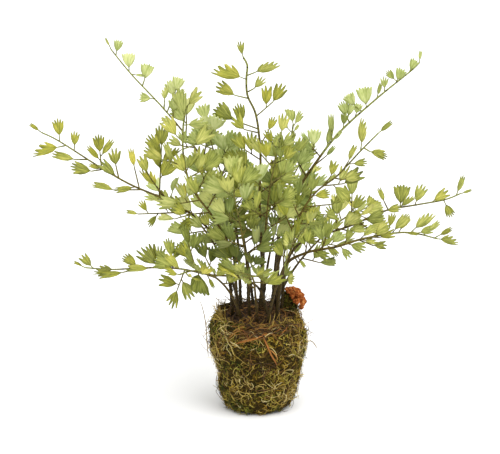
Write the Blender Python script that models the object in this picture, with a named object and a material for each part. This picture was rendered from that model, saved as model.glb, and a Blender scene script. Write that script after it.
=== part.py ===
"""Maidenhair fern (Adiantum) with its moss-wrapped, pot-shaped root ball.

Metres, +Z up, origin at the centre of the root ball's flat base.
The soil core sits inside the moss wrap. Each frond is a bare stalk set in the soil,
and above it a blade: the rachis with its side twigs and its wedge-shaped leaflets.
Every frond is a row of the table FRONDS, and one set of functions grows them all.
"""

import math
import random

import bmesh
import bpy
from mathutils import Matrix, Vector
from mathutils.bvhtree import BVHTree

MM = 0.001
UP = Vector((0, 0, 1))

# Root ball, millimetres: (radius, height) up the outside of the moss and of the soil core.
MOSS_OUTSIDE = (
    (30, 0), (35, 4), (38, 12), (40, 22), (41.5, 32), (44, 46), (47, 58), (49.5, 70), (49.5, 80),
)
SOIL_OUTSIDE = (
    (24, 14), (30, 20), (34, 40), (40, 68), (41, 78), (40, 86), (36, 92), (28, 97), (15, 100.5),
)
SOIL_TOP = 101.5
BALL_SEGMENTS = 32
MOSS_LUMP = 1.8
SOIL_TO_MOSS = 0.8
# The moss ends above this row of SOIL_OUTSIDE, in a lip that dips at the front and the right.
RIM_ROW = 6
MOSS_LIP = 7.0
LIP_DIP = 3.0
SHOULDER_RADIUS = 47.5

# Fronds, millimetres.
SET_DEPTH = 24
STALK_SIDES = 6
RACHIS_TIP = 0.55
TWIG_RADIUS = 0.45
JOINT_HALF = 0.55
DIRECT_LENGTH = 6
RACHIS_STEP = 17
NODE_GAP = 0.35
HOLE_CLEARANCE = 0.35
LEAF_THICKNESS = 0.6
PETIOLE = 3.5
TIP_PETIOLE = 1.5
CLEAR = 0.45
OWN_CLEAR = 0.2
OUTER_PART = 0.3
LEAF_WIDTH = {"h": 0.66, "w": 0.52, "t": 0.37, "f": 0.9}
SIDE_TURN = math.radians(48)
# How far each kind leans up from the twig's direction; one that hangs doesn't.
LEAN = {"h": (0.3, 0.6), "w": (0.0, 0.15), "t": (0.1, 0.3), "f": (0.25, 0.55)}
HANGING = -0.6
# Twigs leave the blade's plane by up to this many degrees.
SPREAD = 20
TWIG_TILTS = (0, 18, -18, 34, -34)
LEAF_TILTS = (0, 24, -24, 46, -46)

SOIL_COLOUR = (0.045, 0.024, 0.012, 1)
MOSS_COLOUR = (0.13, 0.12, 0.032, 1)
LICHEN_COLOUR = (0.19, 0.045, 0.016, 1)
ROOT_COLOUR = (0.13, 0.095, 0.05, 1)
STALK_COLOUR = (0.075, 0.052, 0.022, 1)
LEAF_COLOUR = (0.24, 0.31, 0.062, 1)

# One row a frond. route: points from the soil to the tip. stalk: radius. bare: share of the
# length without leaflets. face: the way the blade's upper side looks. twigs: (share along the
# frond, angle from it, length, kinds of leaflet from the twig's tip inwards, leaflet length).
# A positive angle turns to the right-hand side of the upper face, travelling to the tip.
FRONDS = {
    "left_long": {
        "route": ((-25, -6, 100), (-31, -9, 153), (-50, -12, 189), (-83, -15, 214),
                  (-124, -18, 233), (-155, -22, 252), (-193, -27, 278), (-210, -29, 287)),
        "stalk": 1.6, "bare": 0.33, "spread": 10, "face": (0, -0.95, 0.3),
        "twigs": (
            (1.0, 5, 2, "t", 10), (0.93, 55, 5, "h", 15), (0.905, -43, 8, "w", 26),
            (0.872, 60, 4, "h", 13), (0.815, -30, 13, "t", 18), (0.76, 55, 15, "htt", 16),
            (0.752, -40, 12, "h", 18), (0.745, -28, 4, "t", 11), (0.695, -10, 3, "h", 17),
            (0.69, 43, 13, "h", 17), (0.625, -50, 2, "t", 16), (0.61, 55, 22, "t", 15),
            (0.6, -24, 28, "t", 18), (0.535, 72, 50, "hhwhh", 20), (0.515, 33, 31, "h", 15),
            (0.505, 30, 18, "w", 20), (0.42, -33, 50, "thhh", 12), (0.41, -100, 3, "h", 14),
            (0.4, 14, 4, "w", 22), (0.37, -75, 4, "h", 12),
        ),
    },
    "left_low": {
        "route": ((11, -26, 98), (3, -33, 129), (-8, -37, 140), (-21, -41, 146), (-47, -46, 149),
                  (-76, -50, 156), (-108, -54, 158), (-141, -57, 157), (-167, -58, 159)),
        "stalk": 1.3, "bare": 0.27, "spread": 10, "face": (0, -0.85, 0.55),
        "twigs": (
            (1.0, 8, 2, "t", 10), (0.965, 30, 2, "h", 12), (0.86, -8, 3, "w", 17),
            (0.755, 24, 3, "h", 14), (0.74, -10, 20, "t", 20), (0.685, -16, 6, "t", 20),
            (0.66, 22, 5, "h", 19), (0.655, 50, 8, "hh", 16), (0.6, 78, 12, "hh", 16),
            (0.57, 0, 6, "f", 18), (0.545, -80, 24, "hhh", 19), (0.49, 62, 28, "hhh", 18),
            (0.48, -90, 2, "f", 23), (0.44, -125, 3, "t", 11), (0.4, 64, 20, "hh", 18),
            (0.31, 70, 16, "hh", 17),
        ),
    },
    "back_left_high": {
        "route": ((-17, 10, 100), (-20, 22, 169), (-29, 30, 203), (-53, 40, 245),
                  (-72, 48, 271), (-96, 56, 299), (-128, 64, 332), (-149, 70, 357)),
        "stalk": 1.5, "bare": 0.26, "spread": 16, "face": (-0.2, -0.9, 0.4),
        "twigs": (
            (1.0, 12, 3, "t", 9), (0.975, 52, 3, "f", 11), (0.905, 36, 3, "f", 14),
            (0.895, 150, 3, "t", 9), (0.84, 58, 7, "f", 14), (0.78, -58, 3, "f", 11),
            (0.735, 40, 9, "w", 13), (0.72, 58, 23, "ffh", 15), (0.69, 40, 7, "f", 14),
            (0.66, -50, 5, "h", 13), (0.62, 42, 20, "ff", 16), (0.57, -45, 13, "hh", 14),
            (0.52, 46, 25, "fff", 17), (0.48, -52, 18, "fh", 16), (0.42, 46, 27, "fff", 18),
            (0.38, -48, 22, "hf", 17), (0.32, 52, 26, "fhf", 18), (0.28, -52, 22, "ff", 17),
        ),
    },
    "left_tall": {
        "route": ((-20, -16, 100), (-23, -20, 156), (-28, -23, 174), (-44, -27, 203),
                  (-64, -30, 232), (-72, -33, 263), (-72, -35, 295), (-68, -36, 314)),
        "stalk": 1.5, "bare": 0.31, "spread": 32, "face": (0, -0.9, 0.42),
        "twigs": (
            (1.0, 52, 2, "h", 18), (0.95, -28, 3, "h", 21), (0.915, 80, 4, "w", 20),
            (0.845, -50, 8, "h", 19), (0.81, 68, 13, "h", 22), (0.735, -62, 24, "ht", 18),
            (0.71, 42, 4, "h", 16), (0.69, -30, 5, "h", 18), (0.68, 80, 18, "fh", 20),
            (0.6, 62, 24, "hhh", 18), (0.58, 14, 4, "w", 23), (0.57, -60, 22, "hh", 19),
            (0.52, 60, 26, "hhh", 18), (0.5, -62, 24, "hhh", 18), (0.45, 60, 24, "hfh", 18),
            (0.41, -58, 18, "hh", 16), (0.36, 60, 22, "hhh", 17), (0.33, -62, 16, "hh", 16),
        ),
    },
    "crown_tall": {
        "route": ((5, 0, 102), (4, 0, 163), (2, 2, 214), (3, 3, 248), (2, 3, 274), (-2, 3, 301),
                  (-10, 2, 319), (-11, 0, 337), (-10, -2, 349), (-14, -3, 357)),
        "stalk": 1.6, "bare": 0.29, "spread": 16, "face": (0, -0.93, 0.35),
        "twigs": (
            (1.0, 4, 2, "h", 12), (0.925, 60, 10, "w", 21), (0.91, -72, 6, "w", 25),
            (0.86, 70, 8, "h", 13), (0.835, -52, 14, "h", 19), (0.76, 58, 22, "hh", 17),
            (0.71, -62, 27, "fh", 17), (0.695, -72, 15, "h", 21), (0.645, 36, 17, "h", 14),
            (0.59, -52, 18, "hh", 18), (0.55, 56, 24, "hhh", 18), (0.51, -56, 26, "fhh", 19),
            (0.46, 56, 26, "hhh", 18), (0.42, -56, 26, "hhh", 18), (0.37, 60, 24, "hhh", 18),
            (0.33, -60, 26, "hhh", 18),
        ),
    },
    "right_tall": {
        "route": ((15, 6, 100), (19, 8, 156), (27, 14, 196), (32, 18, 223), (30, 22, 246),
                  (33, 26, 266), (36, 30, 286)),
        "stalk": 1.4, "bare": 0.34, "spread": 32, "face": (0.1, -0.9, 0.4),
        "twigs": (
            (1.0, -18, 2, "f", 14), (0.985, 40, 4, "h", 13), (0.955, -66, 5, "h", 10),
            (0.95, 42, 3, "t", 9), (0.88, 20, 3, "t", 12), (0.87, -68, 7, "f", 13),
            (0.82, 50, 9, "h", 15), (0.79, -60, 13, "fh", 18), (0.74, 60, 13, "fh", 17),
            (0.64, -72, 19, "fh", 18), (0.58, 52, 16, "hhf", 17), (0.5, -56, 19, "hh", 17),
            (0.46, 56, 19, "hhf", 17), (0.39, -52, 18, "hh", 17),
        ),
    },
    "back_right_high": {
        "route": ((19, 15, 100), (21, 18, 147), (23, 22, 182), (37, 28, 213), (59, 35, 246),
                  (84, 42, 277), (122, 52, 310), (156, 62, 336), (165, 66, 344)),
        "stalk": 1.9, "bare": 0.27, "spread": 16, "face": (0.2, -0.9, 0.4),
        "twigs": (
            (1.0, -34, 2, "t", 9), (0.95, -12, 2, "f", 12), (0.9, -112, 3, "h", 11),
            (0.895, -22, 2, "f", 13), (0.845, -52, 3, "h", 13), (0.81, -32, 3, "t", 12),
            (0.765, -56, 2, "f", 19), (0.745, -100, 9, "f", 12), (0.715, -28, 3, "f", 11),
            (0.69, -72, 7, "hh", 13), (0.66, -20, 3, "h", 11), (0.605, -40, 8, "t", 16),
            (0.6, 4, 2, "t", 12), (0.575, -22, 3, "t", 18), (0.54, -80, 15, "tff", 15),
            (0.5, 18, 17, "t", 13), (0.46, -68, 19, "ff", 18), (0.41, 52, 15, "hh", 16),
            (0.36, -60, 21, "ffh", 17), (0.31, 58, 18, "hh", 16), (0.29, -58, 20, "ff", 17),
        ),
    },
    "right_upper": {
        "route": ((13, -11, 100), (23, -14, 161), (43, -18, 205), (58, -20, 227), (78, -22, 243),
                  (100, -26, 268), (117, -28, 286)),
        "stalk": 1.4, "bare": 0.40, "spread": 10, "face": (0.1, -0.9, 0.42),
        "twigs": (
            (1.0, 8, 2, "t", 15), (0.91, 76, 7, "h", 17), (0.89, -42, 7, "w", 24),
            (0.81, 68, 4, "h", 13), (0.775, -12, 10, "t", 16), (0.72, 44, 9, "h", 17),
            (0.675, 0, 2, "t", 10), (0.66, 30, 20, "hhh", 18), (0.655, -14, 13, "h", 16),
            (0.59, 58, 2, "h", 15), (0.57, -20, 8, "h", 17), (0.53, 54, 28, "h", 15),
            (0.52, 66, 3, "w", 16), (0.51, 74, 22, "w", 15), (0.48, -54, 14, "hh", 16),
            (0.44, 62, 10, "hh", 16), (0.41, -50, 14, "h", 16),
        ),
    },
    "right_long": {
        "route": ((24, -1, 99), (30, -2, 152), (47, 2, 173), (69, 6, 179), (95, 9, 187),
                  (128, 12, 201), (161, 14, 207), (188, 14, 212), (203, 14, 218)),
        "stalk": 1.5, "bare": 0.31, "spread": 10, "face": (0, -0.9, 0.42),
        "twigs": (
            (1.0, 18, 2, "t", 9), (0.985, -42, 3, "t", 16), (0.93, 80, 4, "h", 14),
            (0.88, -4, 2, "h", 16), (0.81, -46, 3, "h", 19), (0.75, -68, 3, "f", 19),
            (0.745, 1, 2, "w", 19), (0.7, -96, 9, "t", 13), (0.68, 26, 3, "h", 14),
            (0.605, -150, 4, "h", 10), (0.585, 34, 3, "f", 16), (0.57, 58, 9, "h", 17),
            (0.535, -64, 31, "hhh", 17), (0.5, -20, 4, "f", 16), (0.49, 30, 10, "h", 17),
            (0.47, -66, 15, "hh", 16), (0.44, -6, 2, "h", 15), (0.435, -158, 2, "f", 19),
            (0.36, -62, 18, "hhh", 17), (0.325, 58, 2, "h", 15),
        ),
    },
    "right_low": {
        "route": ((19, -20, 98), (26, -26, 150), (46, -31, 167), (78, -36, 175), (104, -40, 184),
                  (144, -44, 191), (175, -46, 185)),
        "stalk": 1.8, "bare": 0.34, "spread": 10, "face": (0, -0.85, 0.5),
        "twigs": (
            (1.0, 1, 2, "w", 19), (0.985, -38, 6, "t", 13), (0.935, -38, 5, "t", 14),
            (0.9, -4, 3, "h", 11), (0.875, -46, 6, "w", 23), (0.84, 16, 3, "t", 10),
            (0.82, -50, 3, "h", 15), (0.79, -24, 4, "h", 19), (0.765, -60, 8, "h", 12),
            (0.7, 12, 3, "f", 15), (0.695, 20, 8, "h", 17), (0.645, 26, 3, "w", 14),
            (0.64, -6, 4, "h", 16), (0.635, 38, 16, "h", 13), (0.58, 56, 3, "h", 17),
            (0.565, -30, 3, "h", 15), (0.545, 62, 2, "h", 11), (0.46, -62, 10, "hh", 17),
            (0.45, -48, 2, "w", 15), (0.42, 52, 3, "h", 13), (0.38, -60, 9, "hh", 16),
            (0.34, 75, 4, "t", 9),
        ),
    },
    "crown_left": {
        "route": ((-9, 12, 101), (-11, 12, 150), (-20, 12, 195), (-34, 13, 232),
                  (-45, 14, 266), (-51, 15, 290)),
        "stalk": 1.5, "bare": 0.30, "spread": 44, "face": (-0.2, -0.9, 0.4),
        "twigs": (
            (1.0, -20, 3, "f", 17), (0.93, 52, 10, "ff", 17), (0.86, -54, 12, "fh", 17),
            (0.78, 54, 18, "fff", 18), (0.70, -54, 18, "fhf", 17), (0.62, 54, 22, "fhf", 18),
            (0.54, -56, 20, "fh", 17), (0.47, 56, 24, "hfh", 18), (0.40, -58, 22, "hh", 17),
            (0.34, 58, 22, "hfh", 17),
        ),
    },
    "crown_right": {
        "route": ((2, -10, 102), (6, -14, 158), (9, -18, 202), (13, -20, 236), (19, -21, 264),
                  (23, -22, 284)),
        "stalk": 1.4, "bare": 0.32, "spread": 44, "face": (0.05, -0.92, 0.4),
        "twigs": (
            (1.0, 4, 2, "h", 15), (0.93, 48, 7, "h", 16), (0.91, -52, 9, "h", 15),
            (0.84, 50, 11, "hh", 16), (0.81, -54, 18, "hh", 17), (0.73, 52, 16, "hhh", 17),
            (0.68, -54, 22, "hfh", 18), (0.60, 56, 20, "hhh", 18), (0.54, -56, 24, "hhh", 18),
            (0.47, 58, 22, "hhh", 18), (0.42, -58, 24, "hhh", 18), (0.36, 58, 20, "hhh", 17),
        ),
    },
    "crown_front": {
        "route": ((-8, -22, 101), (-10, -34, 150), (-16, -42, 192), (-22, -46, 224),
                  (-24, -48, 244)),
        "stalk": 1.3, "bare": 0.34, "spread": 44, "face": (0, -0.9, 0.45),
        "twigs": (
            (1.0, 6, 2, "f", 20), (0.92, 54, 10, "fh", 20), (0.87, -56, 12, "fh", 20),
            (0.76, 56, 18, "fhh", 20), (0.70, -56, 18, "hfh", 19), (0.60, 58, 20, "hhh", 19),
            (0.53, -58, 20, "hhh", 19), (0.45, 58, 20, "hhh", 18), (0.39, -60, 18, "hh", 18), (0.36, 40, 14, "hh", 18),
        ),
    },
    "front_centre": {
        "route": ((0, -32, 96), (-2, -46, 126), (-4, -66, 148), (-8, -92, 160), (-12, -118, 158)),
        "stalk": 1.3, "bare": 0.32, "face": (0, -0.45, 0.9),
        "twigs": (
            (1.0, -5, 2, "h", 19), (0.90, 54, 9, "h", 19), (0.85, -56, 9, "h", 18),
            (0.74, 58, 16, "hh", 18), (0.68, -58, 15, "hh", 18), (0.56, 60, 18, "hh", 18),
            (0.50, -60, 18, "hhh", 18), (0.40, 60, 15, "hh", 17),
        ),
    },
    "front_left": {
        "route": ((-15, -27, 97), (-26, -42, 128), (-42, -66, 152), (-60, -92, 164),
                  (-74, -116, 166)),
        "stalk": 1.3, "bare": 0.33, "face": (-0.1, -0.5, 0.85),
        "twigs": (
            (1.0, 5, 2, "h", 18), (0.91, -54, 8, "h", 17), (0.87, 56, 9, "h", 18),
            (0.76, -58, 16, "hh", 17), (0.70, 58, 16, "hh", 18), (0.59, -60, 17, "hh", 17),
            (0.52, 60, 18, "hhh", 18), (0.42, -60, 14, "hh", 17),
        ),
    },
    "front_right": {
        "route": ((9, -34, 95), (17, -46, 132), (27, -62, 166), (38, -80, 194), (48, -96, 210)),
        "stalk": 1.3, "bare": 0.33, "face": (0.1, -0.5, 0.85),
        "twigs": (
            (1.0, 4, 2, "h", 18), (0.91, 54, 8, "h", 16), (0.87, -56, 9, "h", 17),
            (0.76, 58, 15, "hh", 17), (0.70, -58, 16, "hh", 17), (0.59, 60, 16, "hh", 17),
            (0.52, -60, 18, "hhh", 17), (0.42, 60, 15, "hh", 16),
        ),
    },
    "back_far_left": {
        "route": ((-17, 20, 98), (-32, 38, 138), (-56, 64, 172), (-82, 94, 192), (-104, 122, 198)),
        "stalk": 1.4, "bare": 0.30, "face": (-0.3, -0.2, 0.92),
        "twigs": (
            (1.0, 5, 2, "f", 16), (0.93, -52, 7, "h", 16), (0.89, 54, 9, "f", 16),
            (0.81, -56, 14, "hf", 16), (0.76, 56, 15, "fh", 17), (0.67, -58, 18, "fh", 17),
            (0.61, 58, 19, "hfh", 17), (0.52, -58, 20, "fhh", 17), (0.46, 60, 20, "hfh", 17),
            (0.37, -60, 18, "hf", 16), (0.33, 60, 16, "hf", 16),
        ),
    },
    "back_left": {
        "route": ((-4, 22, 100), (-10, 44, 142), (-18, 72, 180), (-30, 100, 208), (-42, 126, 222)),
        "stalk": 1.4, "bare": 0.30, "face": (-0.1, 0.1, 0.95),
        "twigs": (
            (1.0, 5, 2, "f", 16), (0.93, -52, 7, "f", 16), (0.89, 54, 9, "h", 16),
            (0.81, -56, 14, "fh", 16), (0.76, 56, 15, "hf", 17), (0.67, -58, 18, "hf", 17),
            (0.61, 58, 19, "fhh", 17), (0.52, -58, 20, "hfh", 17), (0.46, 60, 20, "fhf", 17),
            (0.37, -60, 18, "fh", 16), (0.33, 60, 16, "fh", 16),
        ),
    },
    "back_right": {
        "route": ((5, 20, 100), (12, 40, 146), (24, 64, 190), (38, 90, 222), (50, 114, 240)),
        "stalk": 1.4, "bare": 0.30, "face": (0.1, 0.1, 0.95),
        "twigs": (
            (1.0, -5, 2, "f", 16), (0.93, 52, 7, "h", 16), (0.89, -54, 9, "f", 16),
            (0.81, 56, 14, "hf", 16), (0.76, -56, 15, "fh", 17), (0.67, 58, 18, "fh", 17),
            (0.61, -58, 19, "hfh", 17), (0.52, 58, 20, "fhh", 17), (0.46, -60, 20, "hfh", 17),
            (0.37, 60, 18, "hf", 16), (0.33, -60, 16, "hf", 16),
        ),
    },
    "back_far_right": {
        "route": ((15, 22, 98), (38, 42, 134), (64, 62, 160), (92, 88, 178), (116, 112, 184)),
        "stalk": 1.4, "bare": 0.31, "face": (0.3, -0.2, 0.92),
        "twigs": (
            (1.0, -5, 2, "f", 16), (0.93, 52, 7, "f", 16), (0.89, -54, 9, "h", 16),
            (0.81, 56, 14, "fh", 16), (0.76, -56, 15, "hf", 17), (0.67, 58, 18, "hf", 17),
            (0.61, -58, 19, "fhh", 17), (0.52, 58, 20, "hfh", 17), (0.46, -60, 20, "fhf", 17),
            (0.37, 60, 18, "fh", 16), (0.33, -60, 16, "fh", 16),
        ),
    },
}

LICHEN_CENTRE = (38, 4, 113)
LICHEN_SIZE = (11.5, 8.5, 13.5)
STRAY_ROOTS = {
    "stray_root_left": ((-49.5, -15, 57), (-50.5, -15, 72), (-51.5, -15, 88), (-54, -15, 104),
                        (-58, -15, 116)),
    "stray_root_right": ((51.2, -9, 71), (54.5, -12, 72), (57.5, -13, 69), (60, -14, 65)),
}
STRAY_ROOT_RADIUS = 0.45


def clear_scene():
    for thing in list(bpy.data.objects):
        bpy.data.objects.remove(thing, do_unlink=True)


def material(name, colour, roughness):
    made = bpy.data.materials.new(name)
    made.use_nodes = True
    shader = made.node_tree.nodes["Principled BSDF"]
    shader.inputs["Base Color"].default_value = colour
    shader.inputs["Roughness"].default_value = roughness
    shader.inputs["Metallic"].default_value = 0.0
    return made


def add_object(name, mesh, colour, roughness):
    """A named object in the scene with a material of its own."""
    thing = bpy.data.objects.new(name, mesh)
    bpy.context.scene.collection.objects.link(thing)
    mesh.materials.clear()
    mesh.materials.append(material(name + "_material", colour, roughness))
    return thing


def mesh_from(name, points, faces, smooth=True):
    """A mesh from points in millimetres, its faces turned outwards."""
    mesh = bpy.data.meshes.new(name)
    mesh.from_pydata([Vector(p) * MM for p in points], [], faces)
    work = bmesh.new()
    work.from_mesh(mesh)
    bmesh.ops.recalc_face_normals(work, faces=work.faces)
    work.to_mesh(mesh)
    work.free()
    if smooth:
        mesh.shade_smooth()
        mesh.set_sharp_from_angle(angle=math.radians(45))
    return mesh


def smooth_route(points, per_span=8):
    """Catmull-Rom curve through the points."""
    ends = [points[0]] + list(points) + [points[-1]]
    knots = [Vector(p) for p in ends]
    made = []
    for i in range(1, len(knots) - 2):
        a, b, c, d = knots[i - 1:i + 3]
        for step in range(per_span):
            t = step / per_span
            made.append(0.5 * (2 * b + (c - a) * t + (2 * a - 5 * b + 4 * c - d) * t * t
                               + (3 * b - a - 3 * c + d) * t * t * t))
    made.append(knots[-1])
    return made


class Route:
    """A curve that gives its point and its direction at a share of its length."""

    def __init__(self, points):
        self.points = smooth_route(points)
        self.far = [0.0]
        for a, b in zip(self.points, self.points[1:]):
            self.far.append(self.far[-1] + (b - a).length)
        self.length = self.far[-1]

    def at(self, share):
        want = min(max(share, 0.0), 1.0) * self.length
        for i in range(len(self.far) - 1):
            if self.far[i + 1] >= want:
                break
        span = self.far[i + 1] - self.far[i]
        t = (want - self.far[i]) / span if span else 0.0
        here = self.points[i].lerp(self.points[i + 1], t)
        return here, (self.points[i + 1] - self.points[i]).normalized()


def tube(line, radii, sides):
    """Points and faces of a closed tube along a line of points."""
    points, faces = [], []
    side = None
    for i, here in enumerate(line):
        ahead = line[min(i + 1, len(line) - 1)] - line[max(i - 1, 0)]
        ahead.normalize()
        if side is None:
            side = ahead.orthogonal().normalized()
        side = (side - ahead * side.dot(ahead)).normalized()
        other = ahead.cross(side)
        for k in range(sides):
            turn = 2 * math.pi * k / sides
            points.append(here + radii[i] * (math.cos(turn) * side + math.sin(turn) * other))
    for i in range(len(line) - 1):
        for k in range(sides):
            n = (k + 1) % sides
            faces.append((i * sides + k, i * sides + n, (i + 1) * sides + n, (i + 1) * sides + k))
    last = (len(line) - 1) * sides
    faces.append(tuple(reversed(range(sides))))
    faces.append(tuple(range(last, last + sides)))
    return points, faces


def square_to(vector, along):
    """The vector made square to a direction, at length 1."""
    return (vector - along * vector.dot(along)).normalized()


def corners(centre, side, upper, half, thick, sign=1):
    """Four corners of a flat section, those at the branch's back edge first."""
    out = side * (half * sign)
    return [centre + out + upper * thick, centre + out - upper * thick,
            centre - out - upper * thick, centre - out + upper * thick]


def leaf_end(leaf, sign=1, grow=0.0):
    """The broad outer edge of a leaflet."""
    root, along, normal, petiole, size, kind = leaf
    half = 0.5 * size * LEAF_WIDTH[kind] + grow
    centre = root + along * (petiole + size + grow)
    return corners(centre, along.cross(normal), normal, half, 0.5 * LEAF_THICKNESS + grow, sign)


def leaf_space(leaf, grow, skip=0.0):
    """The closed wedge that a leaflet takes up; skip leaves out that share at its root."""
    root, along, normal, petiole, size, kind = leaf
    half = TWIG_RADIUS + (0.5 * size * LEAF_WIDTH[kind] - TWIG_RADIUS) * skip + grow
    near = corners(root + along * (petiole + size) * skip, along.cross(normal), normal, half,
                   0.5 * LEAF_THICKNESS + grow)
    points = near + leaf_end(leaf, grow=grow)
    faces = [(3, 2, 1, 0), (4, 5, 6, 7)]
    faces += [(k, (k + 1) % 4, 4 + (k + 1) % 4, 4 + k) for k in range(4)]
    return points, faces


class Shell:
    """Points and faces of a closed skin that is built ring by ring."""

    def __init__(self):
        self.points = []
        self.faces = []

    def ring(self, places):
        first = len(self.points)
        self.points += places
        return list(range(first, first + len(places)))

    def bridge(self, a, b, leave_open=()):
        for k in range(len(a)):
            n = (k + 1) % len(a)
            if k not in leave_open:
                self.faces.append((a[k], a[n], b[n], b[k]))

    def cap(self, ring):
        self.faces.append(tuple(ring))


def join(parts):
    """One list of points and one of faces from several."""
    points, faces = [], []
    for part_points, part_faces in parts:
        first = len(points)
        points += part_points
        faces += [tuple(first + i for i in face) for face in part_faces]
    return points, faces


def frond_frame(route, share, face):
    """Point, direction, right-hand side and upper side of the blade at a share."""
    here, ahead = route.at(share)
    side = ahead.cross(face).normalized()
    return here, ahead, side, side.cross(ahead).normalized()


def leaf_share(k, count):
    """Where along a twig its leaflet number k sits; number 0 is at the tip."""
    return 1 - 0.8 * k / count


def odd_side(k, across):
    """Whether leaflet k sits on the twig's right-hand side: the first one sits on top."""
    return (k % 2 == 1) == (across.z > 0)


def twig_leaves(start, direction, side, upper, length, kinds, size, luck):
    """The twig's leaflets, tip first and then alternately down its two sides."""
    made = []
    count = len(kinds)
    for k, kind in enumerate(kinds):
        leaf_size = size * luck.uniform(0.94, 1.18)
        roll = luck.choice((-1, 1)) * math.radians(luck.uniform(3, 36))
        lean = luck.uniform(*LEAN[kind])
        if k == 0:
            carried = length if length > DIRECT_LENGTH else 0.0
            root = start + direction * carried
            way = direction
            petiole = TIP_PETIOLE + length - carried
        else:
            turn = SIDE_TURN * (1 if odd_side(k, side) else -1)
            root = start + direction * length * leaf_share(k, count)
            way = direction * math.cos(turn) + side * math.sin(turn)
            petiole = PETIOLE
        lean = lean if way.z > HANGING else 0.0
        along = (way + UP * lean).normalized()
        normal = (upper - along * upper.dot(along)).normalized()
        normal = Matrix.Rotation(roll, 3, along) @ normal
        made.append((root, along, normal, petiole, leaf_size, kind))
    return made


def tilted_leaf(leaf, degrees):
    """The leaflet swung out of its plane about its own width."""
    root, along, normal, petiole, size, kind = leaf
    turn = Matrix.Rotation(math.radians(degrees), 3, along.cross(normal))
    return root, turn @ along, turn @ normal, petiole, size, kind


def clashes(part, obstacles):
    tree = BVHTree.FromPolygons(part[0], part[1])
    return any(tree.overlap(other) for other in obstacles)


def place_leaf(leaf, others, own):
    """The leaflet at the first tilt that is clear of the other fronds and of its own."""
    for degrees in LEAF_TILTS:
        tried = tilted_leaf(leaf, degrees)
        if clashes(leaf_space(tried, CLEAR), others):
            continue
        outer = leaf_space(tried, OWN_CLEAR, OUTER_PART)
        if not clashes(outer, own):
            own.append(BVHTree.FromPolygons(*outer))
            return tried
    return None


def place_twigs(name, frond, route, others):
    """The twigs of one frond, tilted or left out so that all stays clear of the others."""
    luck = random.Random(name)
    face = Vector(frond["face"]).normalized()
    placed, own = [], []
    for share, angle, length, kinds, size in frond["twigs"]:
        here, ahead, side, upper = frond_frame(route, share, face)
        turn = math.radians(angle + luck.uniform(-4, 4))
        flat = ahead * math.cos(turn) + side * math.sin(turn)
        across = side * math.cos(turn) - ahead * math.sin(turn)
        lift = luck.uniform(-1, 1) * frond.get("spread", SPREAD)
        seed = luck.random()
        for tilt in TWIG_TILTS:
            swing = Matrix.Rotation(math.radians(lift + tilt), 3, across)
            direction, up = swing @ flat, swing @ upper
            wide = tube([here, here + direction * length], (TWIG_RADIUS + CLEAR,) * 2, 3)
            if clashes(wide, others):
                continue
            leaves = twig_leaves(here, direction, across, up, length, kinds, size,
                                 random.Random(seed))
            tip = place_leaf(leaves[0], others, own)
            if tip is None:
                continue
            rest = [(k, place_leaf(leaf, others, own)) for k, leaf in enumerate(leaves) if k]
            rest = [(k, leaf) for k, leaf in rest if leaf is not None]
            placed.append((share, math.copysign(1, angle), here, direction, across, up, length,
                           tip, rest, len(kinds)))
            break
    return placed


def leaf_space_all(placed):
    """Everything the twigs and leaflets of a frond take up."""
    parts = []
    for share, sign, here, direction, across, up, length, tip, rest, count in placed:
        parts.append(tube([here, here + direction * length], (TWIG_RADIUS,) * 2, 3))
        parts += [leaf_space(leaf, 0.0) for leaf in [tip] + [leaf for k, leaf in rest]]
    return join(parts)


def branch(shell, root, twig):
    """A twig and its leaflets, extruded from an open quad of the stem that carries it."""
    share, sign, here, direction, across, up, length, tip, rest, count = twig
    ring = root
    for k, leaf in sorted(rest, reverse=True):
        middle = here + direction * length * leaf_share(k, count)
        pair = []
        for step in (-JOINT_HALF, JOINT_HALF):
            pair.append(shell.ring(corners(middle + direction * step, across, up, TWIG_RADIUS,
                                           TWIG_RADIUS, sign)))
        shell.bridge(ring, pair[0])
        right = odd_side(k, across)
        edge = 0 if right == (sign > 0) else 2
        back, front = pair
        shell.bridge(back, front, leave_open=(edge,))
        top, low = (edge, edge + 1) if edge == 0 else (3, 2)
        socket = [back[top], back[low], front[low], front[top]]
        end = shell.ring(leaf_end(leaf, 1 if right else -1))
        shell.bridge(socket, end)
        shell.cap(end)
        ring = front
    if length > DIRECT_LENGTH:
        tip_ring = shell.ring(corners(here + direction * length, across, up, TWIG_RADIUS * 0.9,
                                      TWIG_RADIUS * 0.9, sign))
        shell.bridge(ring, tip_ring)
        ring = tip_ring
    end = shell.ring(leaf_end(tip, sign))
    shell.bridge(ring, end)
    shell.cap(end)


def stem_ring(shell, route, far, face, radius):
    """Three points round the rachis: on its upper side, its left and its right."""
    here, ahead, side, upper = frond_frame(route, far / route.length, face)
    wide = math.cos(math.radians(30))
    return shell.ring([here + upper * radius, here - (side * wide + upper * 0.5) * radius,
                       here + (side * wide - upper * 0.5) * radius])


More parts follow.
